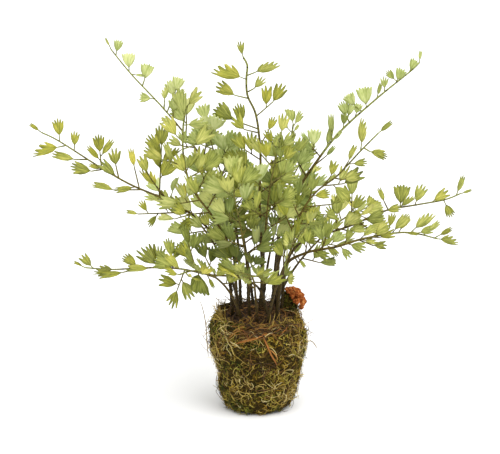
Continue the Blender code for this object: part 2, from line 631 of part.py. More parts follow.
def build_blade(name, frond, route, placed):
    """Rachis, twigs and leaflets as one closed skin."""
    shell = Shell()
    face = Vector(frond["face"]).normalized()
    start, stop = frond["bare"] * route.length, route.length
    first_radius = 0.8 * frond["stalk"]
    twigs = sorted((twig for twig in placed if twig[0] < 1), key=lambda twig: twig[0])
    marks = []
    for twig in twigs:
        far = max(twig[0] * route.length, (marks[-1][0] if marks else start) + 2.6 * JOINT_HALF)
        marks.append((far, twig))
    steps = [(start, None)]
    for far, twig in marks:
        gap = far - JOINT_HALF - steps[-1][0]
        extra = int(gap / RACHIS_STEP)
        last = steps[-1][0]
        steps += [(last + gap * (k + 1) / (extra + 1), None) for k in range(extra)]
        steps += [(far - JOINT_HALF, twig), (far + JOINT_HALF, None)]
    steps.append((max(stop, steps[-1][0] + 1), None))
    ring, waiting = None, None
    for far, twig in steps:
        share = (far - start) / (stop - start)
        radius = first_radius + (RACHIS_TIP - first_radius) * share
        new = stem_ring(shell, route, far, face, radius)
        if ring is None:
            shell.cap(new)
        elif waiting is None:
            shell.bridge(ring, new)
        else:
            edge = 2 if waiting[1] > 0 else 0
            shell.bridge(ring, new, leave_open=(edge,))
            low = 2 if edge == 2 else 1
            branch(shell, [ring[0], ring[low], new[low], new[0]], waiting)
        ring, waiting = new, twig
    tips = [twig for twig in placed if twig[0] >= 1]
    if tips:
        leaf = tips[0][7]
        root, along, normal, petiole, size, kind = leaf
        half = 0.5 * size * LEAF_WIDTH[kind]
        side = along.cross(normal)
        far_end = root + along * (petiole + size)
        end = shell.ring([far_end + normal * LEAF_THICKNESS, far_end - side * half,
                          far_end + side * half])
        shell.bridge(ring, end)
        ring = end
    shell.cap(ring)
    return mesh_from(name + "_blade", shell.points, shell.faces, smooth=False)


def stalk_line(frond, route):
    """The stalk from inside the soil to just short of the blade."""
    first, ahead = route.at(0)
    stop = frond["bare"] - NODE_GAP / route.length
    steps = max(4, round(stop * route.length / 12))
    return [first - UP * SET_DEPTH] + [route.at(stop * k / steps)[0] for k in range(steps + 1)]


def taper(first, last, count):
    return [first + (last - first) * k / (count - 1) for k in range(count)]


def ring_body(name, rows, bottom, top):
    """A closed body from rings of points, with a point at its bottom and one at its top."""
    points = [bottom]
    for row in rows:
        points += row
    points.append(top)
    count = len(rows[0])
    faces = []
    for k in range(count):
        n = (k + 1) % count
        faces.append((0, 1 + n, 1 + k))
        for i in range(len(rows) - 1):
            low, high = 1 + i * count, 1 + (i + 1) * count
            faces.append((low + k, low + n, high + n, high + k))
        end = 1 + (len(rows) - 1) * count
        faces.append((end + k, end + n, len(points) - 1))
    return mesh_from(name, points, faces)


def lump(turn, height):
    """Smooth unevenness of the moss, from -1 to 1."""
    return (0.45 * math.sin(3 * turn + 0.06 * height) + 0.35 * math.sin(7 * turn - 0.11 * height)
            + 0.2 * math.sin(11 * turn + 0.31 * height))


def ring(radius, height, lumps=0.0):
    row = []
    for k in range(BALL_SEGMENTS):
        turn = 2 * math.pi * k / BALL_SEGMENTS
        wide = radius + lumps * lump(turn, height)
        row.append(Vector((wide * math.cos(turn), wide * math.sin(turn), height)))
    return row


def build_soil(holes):
    """The soil core, with a hole for every stalk."""
    rows = [ring(r, z) for r, z in SOIL_OUTSIDE]
    mesh = ring_body("soil", rows, Vector((0, 0, SOIL_OUTSIDE[0][1])), Vector((0, 0, SOIL_TOP)))
    soil = add_object("soil", mesh, SOIL_COLOUR, 0.95)
    for name, cutter in holes:
        thing = add_object(name, mesh_from(name, *cutter, smooth=False), SOIL_COLOUR, 0.95)
        thing.hide_render = True
        thing.display_type = "WIRE"
        cut = soil.modifiers.new(name, "BOOLEAN")
        cut.operation = "DIFFERENCE"
        cut.solver = "EXACT"
        cut.object = thing
    return soil


def offset_profile(profile, distance):
    """The outline moved outwards, square to itself."""
    made = []
    for i in range(len(profile)):
        a, b = profile[max(i - 1, 0)], profile[min(i + 1, len(profile) - 1)]
        long = math.dist(a, b)
        made.append((profile[i][0] + distance * (b[1] - a[1]) / long,
                     profile[i][1] - distance * (b[0] - a[0]) / long))
    return made


def build_moss():
    """The moss wrap: a lumpy cup round the soil core, open at the top."""
    inner = offset_profile(SOIL_OUTSIDE, SOIL_TO_MOSS)[:RIM_ROW + 1]
    inner[0] = (inner[0][0], SOIL_OUTSIDE[0][1] - SOIL_TO_MOSS)
    rim_r, rim_z = inner[-1]
    rows = []
    for i, (r, z) in enumerate(MOSS_OUTSIDE):
        rows.append(ring(r, z, MOSS_LUMP if i > 1 else 0.0))
    shoulder, crest, lip = [], [], []
    for k in range(BALL_SEGMENTS):
        turn = 2 * math.pi * k / BALL_SEGMENTS
        out = Vector((math.cos(turn), math.sin(turn), 0))
        bump = MOSS_LUMP * lump(turn, rim_z)
        high = rim_z + MOSS_LIP + LIP_DIP * (math.sin(turn) - 0.5 * math.cos(turn)) + 0.5 * bump
        shoulder.append(out * (SHOULDER_RADIUS + bump) + UP * (0.5 * (80 + high)))
        crest.append(out * (0.5 * (rim_r + SHOULDER_RADIUS) + 0.4 * bump) + UP * high)
        lip.append(out * (rim_r + 1) + UP * (high - 1))
    rows += [shoulder, crest, lip] + [ring(r, z) for r, z in reversed(inner)]
    mesh = ring_body("moss_wrap", rows, Vector((0, 0, 0)), Vector((0, 0, inner[0][1])))
    return add_object("moss_wrap", mesh, MOSS_COLOUR, 0.95)


def build_lichen():
    """The crinkled lump of bark and lichen on the rim."""
    work = bmesh.new()
    bmesh.ops.create_icosphere(work, subdivisions=2, radius=1.0)
    for point in work.verts:
        x, y, z = point.co
        crinkle = 1 + 0.14 * math.sin(5 * x + 3 * z) * math.cos(6 * z - 2 * y)
        place = Vector((x * LICHEN_SIZE[0], y * LICHEN_SIZE[1], z * LICHEN_SIZE[2])) * crinkle
        place.x += 0.3 * -place.z
        point.co = (place + Vector(LICHEN_CENTRE)) * MM
    mesh = bpy.data.meshes.new("rust_lichen")
    work.to_mesh(mesh)
    work.free()
    mesh.shade_smooth()
    return add_object("rust_lichen", mesh, LICHEN_COLOUR, 0.9)


def main():
    clear_scene()
    routes = {name: Route(frond["route"]) for name, frond in FRONDS.items()}
    stalks, trees, holes = {}, {}, []
    for name, frond in FRONDS.items():
        route = routes[name]
        line = stalk_line(frond, route)
        radius = frond["stalk"]
        stalks[name] = tube(line, taper(radius, 0.8 * radius, len(line)), STALK_SIDES)
        hole = [line[0] - (line[1] - line[0]).normalized() * HOLE_CLEARANCE] + line[1:4]
        wide = radius / math.cos(math.pi / STALK_SIDES) + HOLE_CLEARANCE
        holes.append((name + "_hole", tube(hole, [wide] * len(hole), STALK_SIDES)))
        whole = [line[0]] + [route.at(k / 24)[0] for k in range(25)]
        trees[name] = [BVHTree.FromPolygons(*tube(whole, taper(radius, RACHIS_TIP, 26), 4))]
    for name, frond in FRONDS.items():
        others = [tree for other, trees_ in trees.items() if other != name for tree in trees_]
        placed = place_twigs(name, frond, routes[name], others)
        trees[name].append(BVHTree.FromPolygons(*leaf_space_all(placed)))
        add_object(name + "_blade", build_blade(name, frond, routes[name], placed), LEAF_COLOUR,
                   0.6)
        mesh = mesh_from(name + "_stalk", *stalks[name])
        add_object(name + "_stalk", mesh, STALK_COLOUR, 0.6)
    build_soil(holes)
    build_moss()
    build_lichen()
    for name, points in STRAY_ROOTS.items():
        line = Route(points).points[::2]
        mesh = mesh_from(name, *tube(line, [STRAY_ROOT_RADIUS] * len(line), 4))
        add_object(name, mesh, ROOT_COLOUR, 0.8)


main()
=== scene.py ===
"""Maidenhair fern growing from its moss-wrapped root ball.

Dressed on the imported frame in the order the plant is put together: the soil, the moss wrap and the
fibres caught in it, the fronds with their leaflets, and what clings to the rim.
"""

import math
import random

import bmesh
import bpy
import numpy as np
from mathutils import Matrix, Vector, kdtree, noise
from mathutils.bvhtree import BVHTree


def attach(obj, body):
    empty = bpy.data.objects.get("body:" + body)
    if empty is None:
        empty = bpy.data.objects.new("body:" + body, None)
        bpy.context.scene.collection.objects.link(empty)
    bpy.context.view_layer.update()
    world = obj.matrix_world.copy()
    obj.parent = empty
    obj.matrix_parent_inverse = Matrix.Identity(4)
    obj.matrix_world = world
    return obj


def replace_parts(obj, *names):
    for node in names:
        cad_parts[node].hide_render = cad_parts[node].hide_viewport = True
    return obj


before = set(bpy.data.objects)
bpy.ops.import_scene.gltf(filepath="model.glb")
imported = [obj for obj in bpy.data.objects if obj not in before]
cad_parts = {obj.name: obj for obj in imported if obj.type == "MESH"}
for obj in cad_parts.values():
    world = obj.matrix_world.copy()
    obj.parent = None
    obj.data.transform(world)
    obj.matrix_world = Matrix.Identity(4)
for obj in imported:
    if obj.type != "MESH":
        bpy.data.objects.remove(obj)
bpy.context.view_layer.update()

MM = 0.001
UP = Vector((0, 0, 1))

# ---------------------------------------------------------------------------- soil
# Peat and fine root, pressed to a ball by the nursery pot it grew in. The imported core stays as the
# piece itself, with a peat finish; loose brown fibre lies over its crown, round the stalks.
SOIL_FIBRES = 520
SOIL_RADIUS = 0.0395
OVERHEAD = 0.2


def linear(colour):
    """An sRGB hex colour as the linear RGBA that a shader takes."""
    parts = [int(colour[i:i + 2], 16) / 255 for i in (1, 3, 5)]
    return [p / 12.92 if p <= 0.04045 else ((p + 0.055) / 1.055) ** 2.4 for p in parts] + [1.0]


def add_node(material, kind, inputs=None, stops=None, **settings):
    """Adds a shader node. inputs holds values or the sockets that feed it; stops, a ramp's colours."""
    made = material.node_tree.nodes.new("ShaderNode" + kind)
    for name, value in settings.items():
        setattr(made, name, value)
    for name, value in (inputs or {}).items():
        if isinstance(value, bpy.types.NodeSocket):
            material.node_tree.links.new(value, made.inputs[name])
        else:
            made.inputs[name].default_value = value
    if stops:
        ramp = made.color_ramp.elements
        while len(ramp) < len(stops):
            ramp.new(0.5)
        for element, (place, colour) in zip(ramp, stops):
            element.position = place
            element.color = linear(colour)
    return made


def new_material(name, roughness, ior=1.45):
    """An empty material with its Principled shader; returns both."""
    material = bpy.data.materials.new(name)
    material.use_nodes = True
    shader = material.node_tree.nodes["Principled BSDF"]
    shader.inputs["Roughness"].default_value = roughness
    shader.inputs["IOR"].default_value = ior
    return material, shader


def feed(material, shader, name, socket):
    """Links a node's socket to one of the shader's inputs."""
    material.node_tree.links.new(socket, shader.inputs[name])


def crumbly(name, roughness, ior, grain, stops, detail, rough, relief, strength=1.0):
    """A matt material in flecks of this grain, in metres, that stand up by the relief."""
    material, shader = new_material(name, roughness, ior)
    place = add_node(material, "TexCoord").outputs["Object"]
    flecks = add_node(material, "TexNoise", {"Vector": place, "Scale": 1 / grain, "Detail": detail,
                                             "Roughness": rough})
    tint = add_node(material, "ValToRGB", {"Fac": flecks.outputs["Fac"]}, stops=stops)
    feed(material, shader, "Base Color", tint.outputs["Color"])
    rise = add_node(material, "Bump", {"Height": flecks.outputs["Fac"], "Distance": relief,
                                       "Strength": strength})
    feed(material, shader, "Normal", rise.outputs["Normal"])
    return material


def fibrous(name, roughness, ior, stops):
    """A dry fibre's material, with a colour of its own for each fibre by its tone."""
    material, shader = new_material(name, roughness, ior)
    tone = add_node(material, "Attribute", attribute_name="tone").outputs["Fac"]
    tint = add_node(material, "ValToRGB", {"Fac": tone}, stops=stops)
    feed(material, shader, "Base Color", tint.outputs["Color"])
    return material


# Peat, crumbled: near black brown with rusty crumbs of 2 to 3 mm, quite matt.
peat = crumbly("peat_crumbled", 0.95, 1.45, 0.0026, detail=4.0, rough=0.7, relief=0.0016,
               stops=[(0.36, "#1d130b"), (0.55, "#3a2616"), (0.7, "#5c3d22")])
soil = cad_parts["soil"]
soil.data.materials.clear()
soil.data.materials.append(peat)


def rest_all():
    """Leaves edit mode and deselects everything."""
    if bpy.context.object and bpy.context.object.mode != "OBJECT":
        bpy.ops.object.mode_set(mode="OBJECT")
    bpy.ops.object.select_all(action="DESELECT")


def take_shape(thing):
    """A modelled shape as plain arrays to copy from: its points, corners and face starts."""
    mesh = thing.data
    points = np.empty(len(mesh.vertices) * 3)
    mesh.vertices.foreach_get("co", points)
    corners = np.empty(len(mesh.loops), int)
    mesh.loops.foreach_get("vertex_index", corners)
    starts = np.empty(len(mesh.polygons), int)
    mesh.polygons.foreach_get("loop_start", starts)
    bpy.data.objects.remove(thing)
    return points.reshape(-1, 3), corners, starts


def model_fibre(radii):
    """A straight three-sided fibre of length 1 along X, with one ring of points for each radius."""
    rest_all()
    bpy.ops.mesh.primitive_circle_add(vertices=3, radius=radii[0], fill_type="NGON",
                                      rotation=(0, math.pi / 2, 0))
    bpy.ops.object.transform_apply(location=False, rotation=True, scale=False)
    bpy.ops.object.mode_set(mode="EDIT")
    bpy.ops.mesh.select_all(action="SELECT")
    step = 1 / (len(radii) - 1)
    for k in range(1, len(radii)):
        bpy.ops.mesh.extrude_region_move(TRANSFORM_OT_translate={"value": (step, 0, 0)})
        grow = radii[k] / radii[k - 1]
        bpy.ops.transform.resize(value=(1, grow, grow), center_override=(k * step, 0, 0))
    bpy.ops.mesh.select_all(action="SELECT")
    bpy.ops.mesh.normals_make_consistent(inside=False)
    bpy.ops.object.mode_set(mode="OBJECT")
    return take_shape(bpy.context.object)


def unit(vectors):
    """Each vector at length 1."""
    return vectors / np.maximum(np.linalg.norm(vectors, axis=-1, keepdims=True), 1e-9)


def along_surface(luck, normals, bias, spread):
    """Headings that lie in the surface, about a bias direction."""
    wild = np.asarray(bias) + spread * luck.normal(size=normals.shape)
    return unit(wild - normals * (wild * normals).sum(1, keepdims=True))


def lay_fibres(shape, lines, ups, width, depth):
    """Copies of a fibre's points, each laid along its own centre line."""
    points = shape[0]
    rings = lines.shape[1]
    ring = np.rint(points[:, 0] * (rings - 1)).astype(int)
    ahead = unit(np.gradient(lines, axis=1))
    side = unit(np.cross(ups, ahead))
    over = np.cross(ahead, side)
    wide = np.broadcast_to(width, len(lines))[:, None, None]
    deep = np.broadcast_to(depth, len(lines))[:, None, None]
    return (lines[:, ring] + side[:, ring] * points[None, :, 1:2] * wide
            + over[:, ring] * points[None, :, 2:3] * deep)


def strew(luck, shape, starts, headings, normals, length, lift, drop, curl, wobble, width, depth):
    """Copies of a fibre strewn over a surface, each curled its own way.

    Each range is (least, most): length, width and depth in metres, and in radians how steeply a
    fibre sets off from the surface, how far it then bends back down and how far it turns in it."""
    rings, count = len(shape[0]) // 3, len(starts)
    long = luck.uniform(*length, count)
    rise, fall = luck.uniform(*lift, count), luck.uniform(*drop, count)
    turning = luck.uniform(*curl, count) * luck.choice((-1, 1), count)
    phase = luck.uniform(0, 2 * math.pi, count)
    sides = np.cross(normals, headings)
    line, ups = [starts], []
    for k in range(rings):
        u = (k + 0.5) / (rings - 1)
        turn = turning * u + wobble * np.sin(phase + 7 * u)
        tilt = rise - fall * u + 0.5 * wobble * np.cos(phase + 9 * u)
        flat = headings * np.cos(turn)[:, None] + sides * np.sin(turn)[:, None]
        ahead = flat * np.cos(tilt)[:, None] + normals * np.sin(tilt)[:, None]
        ups.append(normals * np.cos(tilt)[:, None] - flat * np.sin(tilt)[:, None])
        line.append(line[-1] + ahead * (long / (rings - 1))[:, None])
    return lay_fibres(shape, np.stack(line[:-1], 1), np.stack(ups, 1), luck.uniform(*width, count),
                      luck.uniform(*depth, count))


def pile(name, shape, copies, material, values, uv=None):
    """One piece made of many copies of a shape, with values per copy that its finish reads."""
    points, corners, starts = shape
    count = len(copies)
    mesh = bpy.data.meshes.new(name)
    mesh.vertices.add(count * len(points))
    mesh.vertices.foreach_set("co", copies.reshape(-1))
    mesh.loops.add(count * len(corners))
    mesh.polygons.add(count * len(starts))
    shift = np.arange(count)[:, None]
    mesh.loops.foreach_set("vertex_index", (corners[None] + shift * len(points)).reshape(-1))
    mesh.polygons.foreach_set("loop_start", (starts[None] + shift * len(corners)).reshape(-1))
    mesh.update(calc_edges=True)
    for key, value in values.items():
        spread = np.repeat(np.asarray(value, np.float32), len(points))
        mesh.attributes.new(key, "FLOAT", "POINT").data.foreach_set("value", spread)
    if uv is not None:
        flat = np.tile(uv[corners], (count, 1)).astype(np.float32)
        mesh.uv_layers.new(name="leaf_map").data.foreach_set("uv", flat.reshape(-1))
    mesh.validate()
    mesh.shade_smooth()
    thing = bpy.data.objects.new(name, mesh)
    bpy.context.scene.collection.objects.link(thing)
    mesh.materials.append(material)
    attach(thing, "root")
    return thing


def tree_of(mesh):
    """A mesh made ready for rays."""
    return BVHTree.FromPolygons([v.co for v in mesh.vertices], [p.vertices for p in mesh.polygons])


def land(tree, starts, way, proud):
    """Where rays that set off from starts meet a surface, lifted by proud, and the normals there."""
    met = [tree.ray_cast(Vector(start), Vector(way))[:2] for start in starts]
    met = [(spot + normal * proud, normal) for spot, normal in met if spot is not None]
    return np.array([spot for spot, normal in met]), np.array([normal for spot, normal in met])


# Coir and dead root, dry: brown, from near black to rust.
dead_root = fibrous("dead_root_fibre", 0.7, 1.45,
                    [(0.0, "#2a1b09"), (0.45, "#563912"), (0.8, "#8a5f22"), (1.0, "#b5873c")])
fibre = model_fibre((0.5, 0.9, 1.0, 1.0, 1.0, 0.95, 0.8, 0.35))
luck = np.random.default_rng(11)
reaches = [(turn, SOIL_RADIUS * math.sqrt(share))
           for turn, share in luck.uniform((0, 0), (2 * math.pi, 1), (SOIL_FIBRES, 2))]
starts = [(reach * math.cos(turn), reach * math.sin(turn), OVERHEAD) for turn, reach in reaches]
spots, out = land(tree_of(soil.data), starts, -UP, 0.0004)
# They lie round the stalks more than across.
around = np.cross(out, unit(spots * (1, 1, 0)))
copies = strew(luck, fibre, spots, along_surface(luck, out, around, 0.7), out,
               length=(0.009, 0.026), lift=(0.15, 0.5), drop=(0.3, 1.1), curl=(0.2, 1.4), wobble=0.15,
               width=(0.0003, 0.0006), depth=(0.0003, 0.0005))
pile("soil_fibres", fibre, copies, dead_root, {"tone": luck.uniform(0, 1, len(copies)) ** 1.3})

# ---------------------------------------------------------------------------- moss wrap
# Sheet moss wound round the ball in place of a pot: a dark felted mat under short sprigs, with
# yellowed stems caught in it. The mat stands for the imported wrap; sprigs and stems are laid on it.
SPRIGS = 8600
STRAWS = 520
CURLS = 260
ROOTLETS = 420
# Above this height in metres the mat's upward faces belong to its outer lip.
LIP = 0.088
# Where pale dry stems gather in curls on the front, mm: (x, height, radius).
CURLED = ((-35, 82, 9), (25, 22, 12), (-17, 33, 12), (-45, 60, 8), (39, 70, 10), (30, 88, 6))
# Cushions and gaps on the front, mm: (x, height, radius, how green it is), a gap below 0.
FRONT_PATCHES = (
    (-37, 84, 8, 0.9), (-21, 97, 7, 0.9), (0, 76, 10, 0.8), (-19, 55, 9, 1.0), (43, 62, 9, 0.9),
    (-37, 24, 8, 0.6), (30, 40, 10, 0.35), (12, 20, 10, 0.4), (-12, 34, 9, 0.3),
    (-10, 62, 9, -1), (9, 60, 8, -1), (23, 72, 6, -0.8), (-27, 43, 7, -0.8), (4, 43, 6, -0.7),
    (-8, 92, 10, -1), (8, 94, 9, -1), (34, 88, 5, -0.5),
)
# Where the moss is less green than this, the mat shows bare.
BARE = -0.55


def into_patch(spot, x, z, radius):
    """How far a place lies inside a round patch on the front, 1 at its middle and 0 at its edge."""
    return 1 - math.hypot(spot[0] - x * MM, spot[2] - z * MM) / (radius * MM)


def moss_patch(spot):
    """How green the wrap is at a place, from about -1 in a gap to 1 in a fresh cushion.

    Away from the patches it wavers over some 19 mm, and over 7 mm less strongly."""
    green = 1.5 * noise.noise(Vector(spot) / 0.019) + 0.5 * noise.noise(Vector(spot) / 0.007)
    if spot[1] < 0:
        for x, z, radius, value in FRONT_PATCHES:
            near = into_patch(spot, x, z, radius)
            if near > 0:
                green += (value * 1.3 - green) * min(1.0, 2.2 * near)
    return green


def roughen(piece, name, lumps, mid_level):
    """Lumps pushed out of a piece's surface, each kind by its (grain, height) in metres."""
    for grain, height in lumps:
        clouds = bpy.data.textures.new(name, "CLOUDS")
        clouds.noise_scale = grain
        push = piece.modifiers.new(name, "DISPLACE")
        push.texture = clouds
        push.strength = height
        push.mid_level = mid_level
        push.texture_coords = "GLOBAL"
        bpy.ops.object.modifier_apply(modifier=push.name)


# Felted moss mat: matt, blotched brown and olive in flecks of 2 mm.
mat = crumbly("moss_mat_felted", 0.95, 1.2, 0.0021, detail=3.0, rough=0.75, relief=0.0015,
              stops=[(0.3, "#120c05"), (0.45, "#271c08"), (0.58, "#45380f"), (0.72, "#6d5b1e")])
rest_all()
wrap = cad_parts["moss_wrap"].copy()
wrap.data = wrap.data.copy()
wrap.name = "moss_mat"
for key in list(wrap.keys()):
    del wrap[key]
bpy.context.scene.collection.objects.link(wrap)
wrap.parent = None
wrap.select_set(True)
bpy.context.view_layer.objects.active = wrap
bpy.ops.object.mode_set(mode="EDIT")
bpy.ops.mesh.select_all(action="SELECT")
bpy.ops.mesh.remove_doubles(threshold=1e-5)
bpy.ops.mesh.tris_convert_to_quads(face_threshold=math.radians(50), shape_threshold=math.radians(50))
bpy.ops.object.mode_set(mode="OBJECT")
finer = wrap.modifiers.new("finer", "SUBSURF")
finer.levels = finer.render_levels = 2
bpy.ops.object.modifier_apply(modifier=finer.name)
roughen(wrap, "moss_clods", ((0.014, 0.0062), (0.0042, 0.0026)), 0.62)
# The mat stays on the floor, and its waist leans a little to the right.
for vertex in wrap.data.vertices:
    vertex.co.z = max(vertex.co.z, 0.0)
    vertex.co.x += 0.0016 * math.exp(-((vertex.co.z - 0.058) / 0.03) ** 2)
wrap.data.materials.clear()
wrap.data.materials.append(mat)
wrap.data.shade_smooth()
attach(wrap, "root")
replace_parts(wrap, "moss_wrap")


def spots_on(mesh, count, luck, keep):
    """Random places on a mesh, spread evenly over its area, with the way out from it."""
    points = np.array([v.co for v in mesh.vertices])
    mesh.calc_loop_triangles()
    tris = np.array([t.vertices for t in mesh.loop_triangles])
    a, b, c = points[tris[:, 0]], points[tris[:, 1]], points[tris[:, 2]]
    across = np.cross(b - a, c - a)
    area = np.linalg.norm(across, axis=1)
    pick = luck.choice(len(tris), count * 3, p=area / area.sum())
    u, v = luck.uniform(0, 1, (2, count * 3, 1))
    fold = (u + v) > 1
    u, v = np.where(fold, 1 - u, u), np.where(fold, 1 - v, v)
    made = a[pick] + (b - a)[pick] * u + (c - a)[pick] * v
    out = unit(across[pick])
    good = keep(made, out)
    return made[good][:count], out[good][:count]


def on_outside(made, out):
    """The wrap's outer side and its lip, not the side against the soil nor the base."""
    outward = (out * unit(made * (1, 1, 0))).sum(1)
    return ((outward > 0.05) | ((out[:, 2] > 0.3) & (made[:, 2] > LIP))) & (made[:, 2] > 0.0015)


def above_floor(copies):
    """Copies of which no point is under the floor."""
    copies[..., 2] = np.maximum(copies[..., 2], 0.0002)
    return copies


# Moss sprig, live to dry: olive brown through olive to yellow green, matt.
sprig_green, shader = new_material("moss_sprig", 0.85, ior=1.25)
tone = add_node(sprig_green, "Attribute", attribute_name="tone").outputs["Fac"]
green = add_node(sprig_green, "Attribute", attribute_name="green").outputs["Fac"]
dry = add_node(sprig_green, "ValToRGB", {"Fac": tone},
               stops=[(0.0, "#221603"), (0.3, "#614812"), (0.55, "#997722"), (0.8, "#c09b38"),
                      (1.0, "#dec35f")])
fresh = add_node(sprig_green, "ValToRGB", {"Fac": tone},
                 stops=[(0.0, "#20290a"), (0.35, "#4b551a"), (0.7, "#7b7c2b"), (1.0, "#b0a848")])
both = add_node(sprig_green, "Mix", {0: green, 6: dry.outputs["Color"], 7: fresh.outputs["Color"]},
                data_type="RGBA")
feed(sprig_green, shader, "Base Color", both.outputs[2])

sprig = model_fibre((0.5, 1.0, 1.0, 0.8, 0.3))
luck = np.random.default_rng(23)
spots, out = spots_on(wrap.data, SPRIGS, luck, on_outside)
fresh_here = np.array([moss_patch(spot) for spot in spots])
clad = fresh_here > BARE
spots, out, fresh_here = spots[clad], out[clad], fresh_here[clad]
# Clumps of 4 and 11 mm, bright where they stand out to the light and dark in the gaps.
clumps = np.array([0.95 * noise.noise(Vector(spot) / 0.0042) + 0.4 * noise.noise(Vector(spot) / 0.011)
                   for spot in spots])
copies = strew(luck, sprig, spots - out * 0.0006, along_surface(luck, out, (0, 0, 0.25), 1.0), out,
               length=(0.0035, 0.0085), lift=(0.1, 0.75), drop=(0.2, 1.5), curl=(0.1, 1.3), wobble=0.25,
               width=(0.00026, 0.00055), depth=(0.0002, 0.0004))
count = len(copies)
pile("moss_sprigs", sprig, above_floor(copies), sprig_green,
     {"tone": np.clip(0.46 + clumps + 0.17 * luck.normal(size=count), 0, 1),
      "green": np.clip(0.42 + 0.75 * fresh_here + 0.15 * luck.normal(size=count), 0, 1)})

# Dry moss stem and straw: pale buff to gold, smooth enough to catch the light.
straw = fibrous("straw_dry", 0.65, 1.35,
                [(0.0, "#6a511d"), (0.4, "#a08436"), (0.75, "#ceb562"), (1.0, "#ead99c")])
luck = np.random.default_rng(31)
spots, out = spots_on(wrap.data, 40 * CURLS, luck, on_outside)
curled = np.array([spot[1] < 0 and any(into_patch(spot, *patch) > 0 for patch in CURLED)
                   for spot in spots])
chosen = np.concatenate([np.arange(STRAWS), STRAWS + np.flatnonzero(curled[STRAWS:])[:CURLS]])
spots, out = spots[chosen], out[chosen]
copies = strew(luck, fibre, spots + out * 0.0006, along_surface(luck, out, (0, 0, 0), 1.0), out,
               length=(0.005, 0.018), lift=(0.1, 0.5), drop=(0.3, 1.1), curl=(0.2, 3.0), wobble=0.2,
               width=(0.0002, 0.00038), depth=(0.00016, 0.0003))
pile("moss_straws", fibre, above_floor(copies), straw,
     {"tone": np.clip(luck.normal(0.55, 0.28, len(copies)), 0, 1)})

# Brown rootlets, which leave the foot of the wrap clear.
luck = np.random.default_rng(37)
spots, out = spots_on(wrap.data, ROOTLETS, luck,
                      lambda made, out: on_outside(made, out) & (made[:, 2] > 0.022))
copies = strew(luck, fibre, spots + out * 0.0003, along_surface(luck, out, (0, 0, 0.3), 1.0), out,
               length=(0.008, 0.026), lift=(0.1, 0.35), drop=(0.3, 0.9), curl=(0.1, 1.6), wobble=0.2,
               width=(0.0002, 0.0004), depth=(0.0002, 0.0003))
pile("moss_rootlets", fibre, above_floor(copies), dead_root,
     {"tone": luck.uniform(0, 0.85, len(copies))})

# ---------------------------------------------------------------------------- strips, straws, tufts
# Strips of bark fibre and long straws were wound in by hand on the front of the wrap. Peat and
# brown root spill over its rim, where dead stems also stand up in tufts.


def smooth_route(points, per_span=8):
    """Catmull-Rom curve through the points."""
    knots = [Vector(p) for p in [points[0], *points, points[-1]]]
    made = []
    for i in range(1, len(knots) - 2):
        a, b, c, d = knots[i - 1:i + 3]
        for step in range(per_span):
            t = step / per_span
            made.append(0.5 * (2 * b + (c - a) * t + (2 * a - 5 * b + 4 * c - d) * t * t
                               + (3 * b - a - 3 * c + d) * t * t * t))
    made.append(knots[-1])
    return made


class Route:
    """A curve that gives its point and its direction at a share of its length."""

    def __init__(self, points):
        self.points = smooth_route(points)
        self.far = [0.0]
        for a, b in zip(self.points, self.points[1:]):
            self.far.append(self.far[-1] + (b - a).length)
        self.length = self.far[-1]

    def at(self, share):
        want = min(max(share, 0.0), 1.0) * self.length
        for i in range(len(self.far) - 1):
            if self.far[i + 1] >= want:
                break
        span = self.far[i + 1] - self.far[i]
        t = (want - self.far[i]) / span if span else 0.0
        here = self.points[i].lerp(self.points[i + 1], t)
        return here, (self.points[i + 1] - self.points[i]).normalized()


# Both kinds, mm: (points as (x, height), how far proud, width, depth, tone).
BARK_STRIPS = (
    (((-23, 77), (-14, 81), (-3, 84.5), (9, 88.5), (17, 92), (25, 95.5)), 2.1, 2.5, 0.8, 0.7),
    (((-15, 80), (-6, 82.5), (2, 86), (8, 91)), 2.6, 1.5, 0.6, 0.85),
    (((5, 86), (8, 80), (11, 73), (13, 66), (17, 60), (19, 55)), 2.0, 2.4, 0.8, 0.75),
    (((11, 74), (15, 70), (18, 66), (19, 60)), 2.4, 1.3, 0.6, 0.95),
    (((13, 88), (22, 92), (31, 96.5), (40, 101)), 2.8, 1.6, 0.6, 0.5),
    (((20, 85), (28, 91.5), (37, 98)), 2.4, 1.2, 0.5, 0.75),
    (((-16, 93), (-10, 88), (-8, 81)), 2.2, 1.3, 0.5, 0.4),
)
LONG_STRAWS = (
    (((-24, 67), (-17, 62), (-9, 55.5)), 1.8, 0.5, 0.4, 0.55),
    (((6, 98), (9, 94), (14, 92), (20, 93.5), (27, 98)), 1.6, 0.8, 0.6, 0.95),
    (((-9, 88), (-8, 91), (-5, 91.5), (-3.5, 89), (-5, 86.5), (-8, 87)), 1.5, 0.6, 0.5, 0.9),
    (((-26, 29), (-16, 26), (-6, 25), (6, 26.5), (14, 28), (22, 31)), 1.8, 0.6, 0.4, 0.75),
    (((-34, 18), (-26, 14), (-17, 8)), 1.6, 0.6, 0.5, 0.3),
    (((-39, 93), (-34, 96), (-30, 94), (-33, 90), (-38, 89)), 1.8, 0.6, 0.5, 0.9),
    (((-40, 90), (-36, 92), (-32, 91), (-29, 87)), 1.8, 0.5, 0.4, 0.8),
    (((-26, 76), (-24, 70), (-22, 64)), 1.8, 1.2, 0.4, 0.7),
    (((-44, 78), (-41, 72), (-38, 65), (-35, 60)), 1.8, 1.2, 0.4, 0.6),
    (((8, 24), (12, 20), (18, 20), (23, 23), (20, 26)), 1.6, 0.6, 0.5, 0.9),
    (((22, 43), (26, 46), (31, 44), (33, 39)), 1.6, 0.6, 0.5, 0.8),
    (((5, 18), (8, 16), (12, 17)), 1.8, 0.9, 0.6, 1.0),
    (((38, 62), (42, 55), (43, 48), (41, 40)), 1.6, 1.6, 0.5, 0.65),
)
FIBRE_RINGS = len(fibre[0]) // 3
INWARD = Vector((0, 1, 0))
IN_FRONT = -0.2
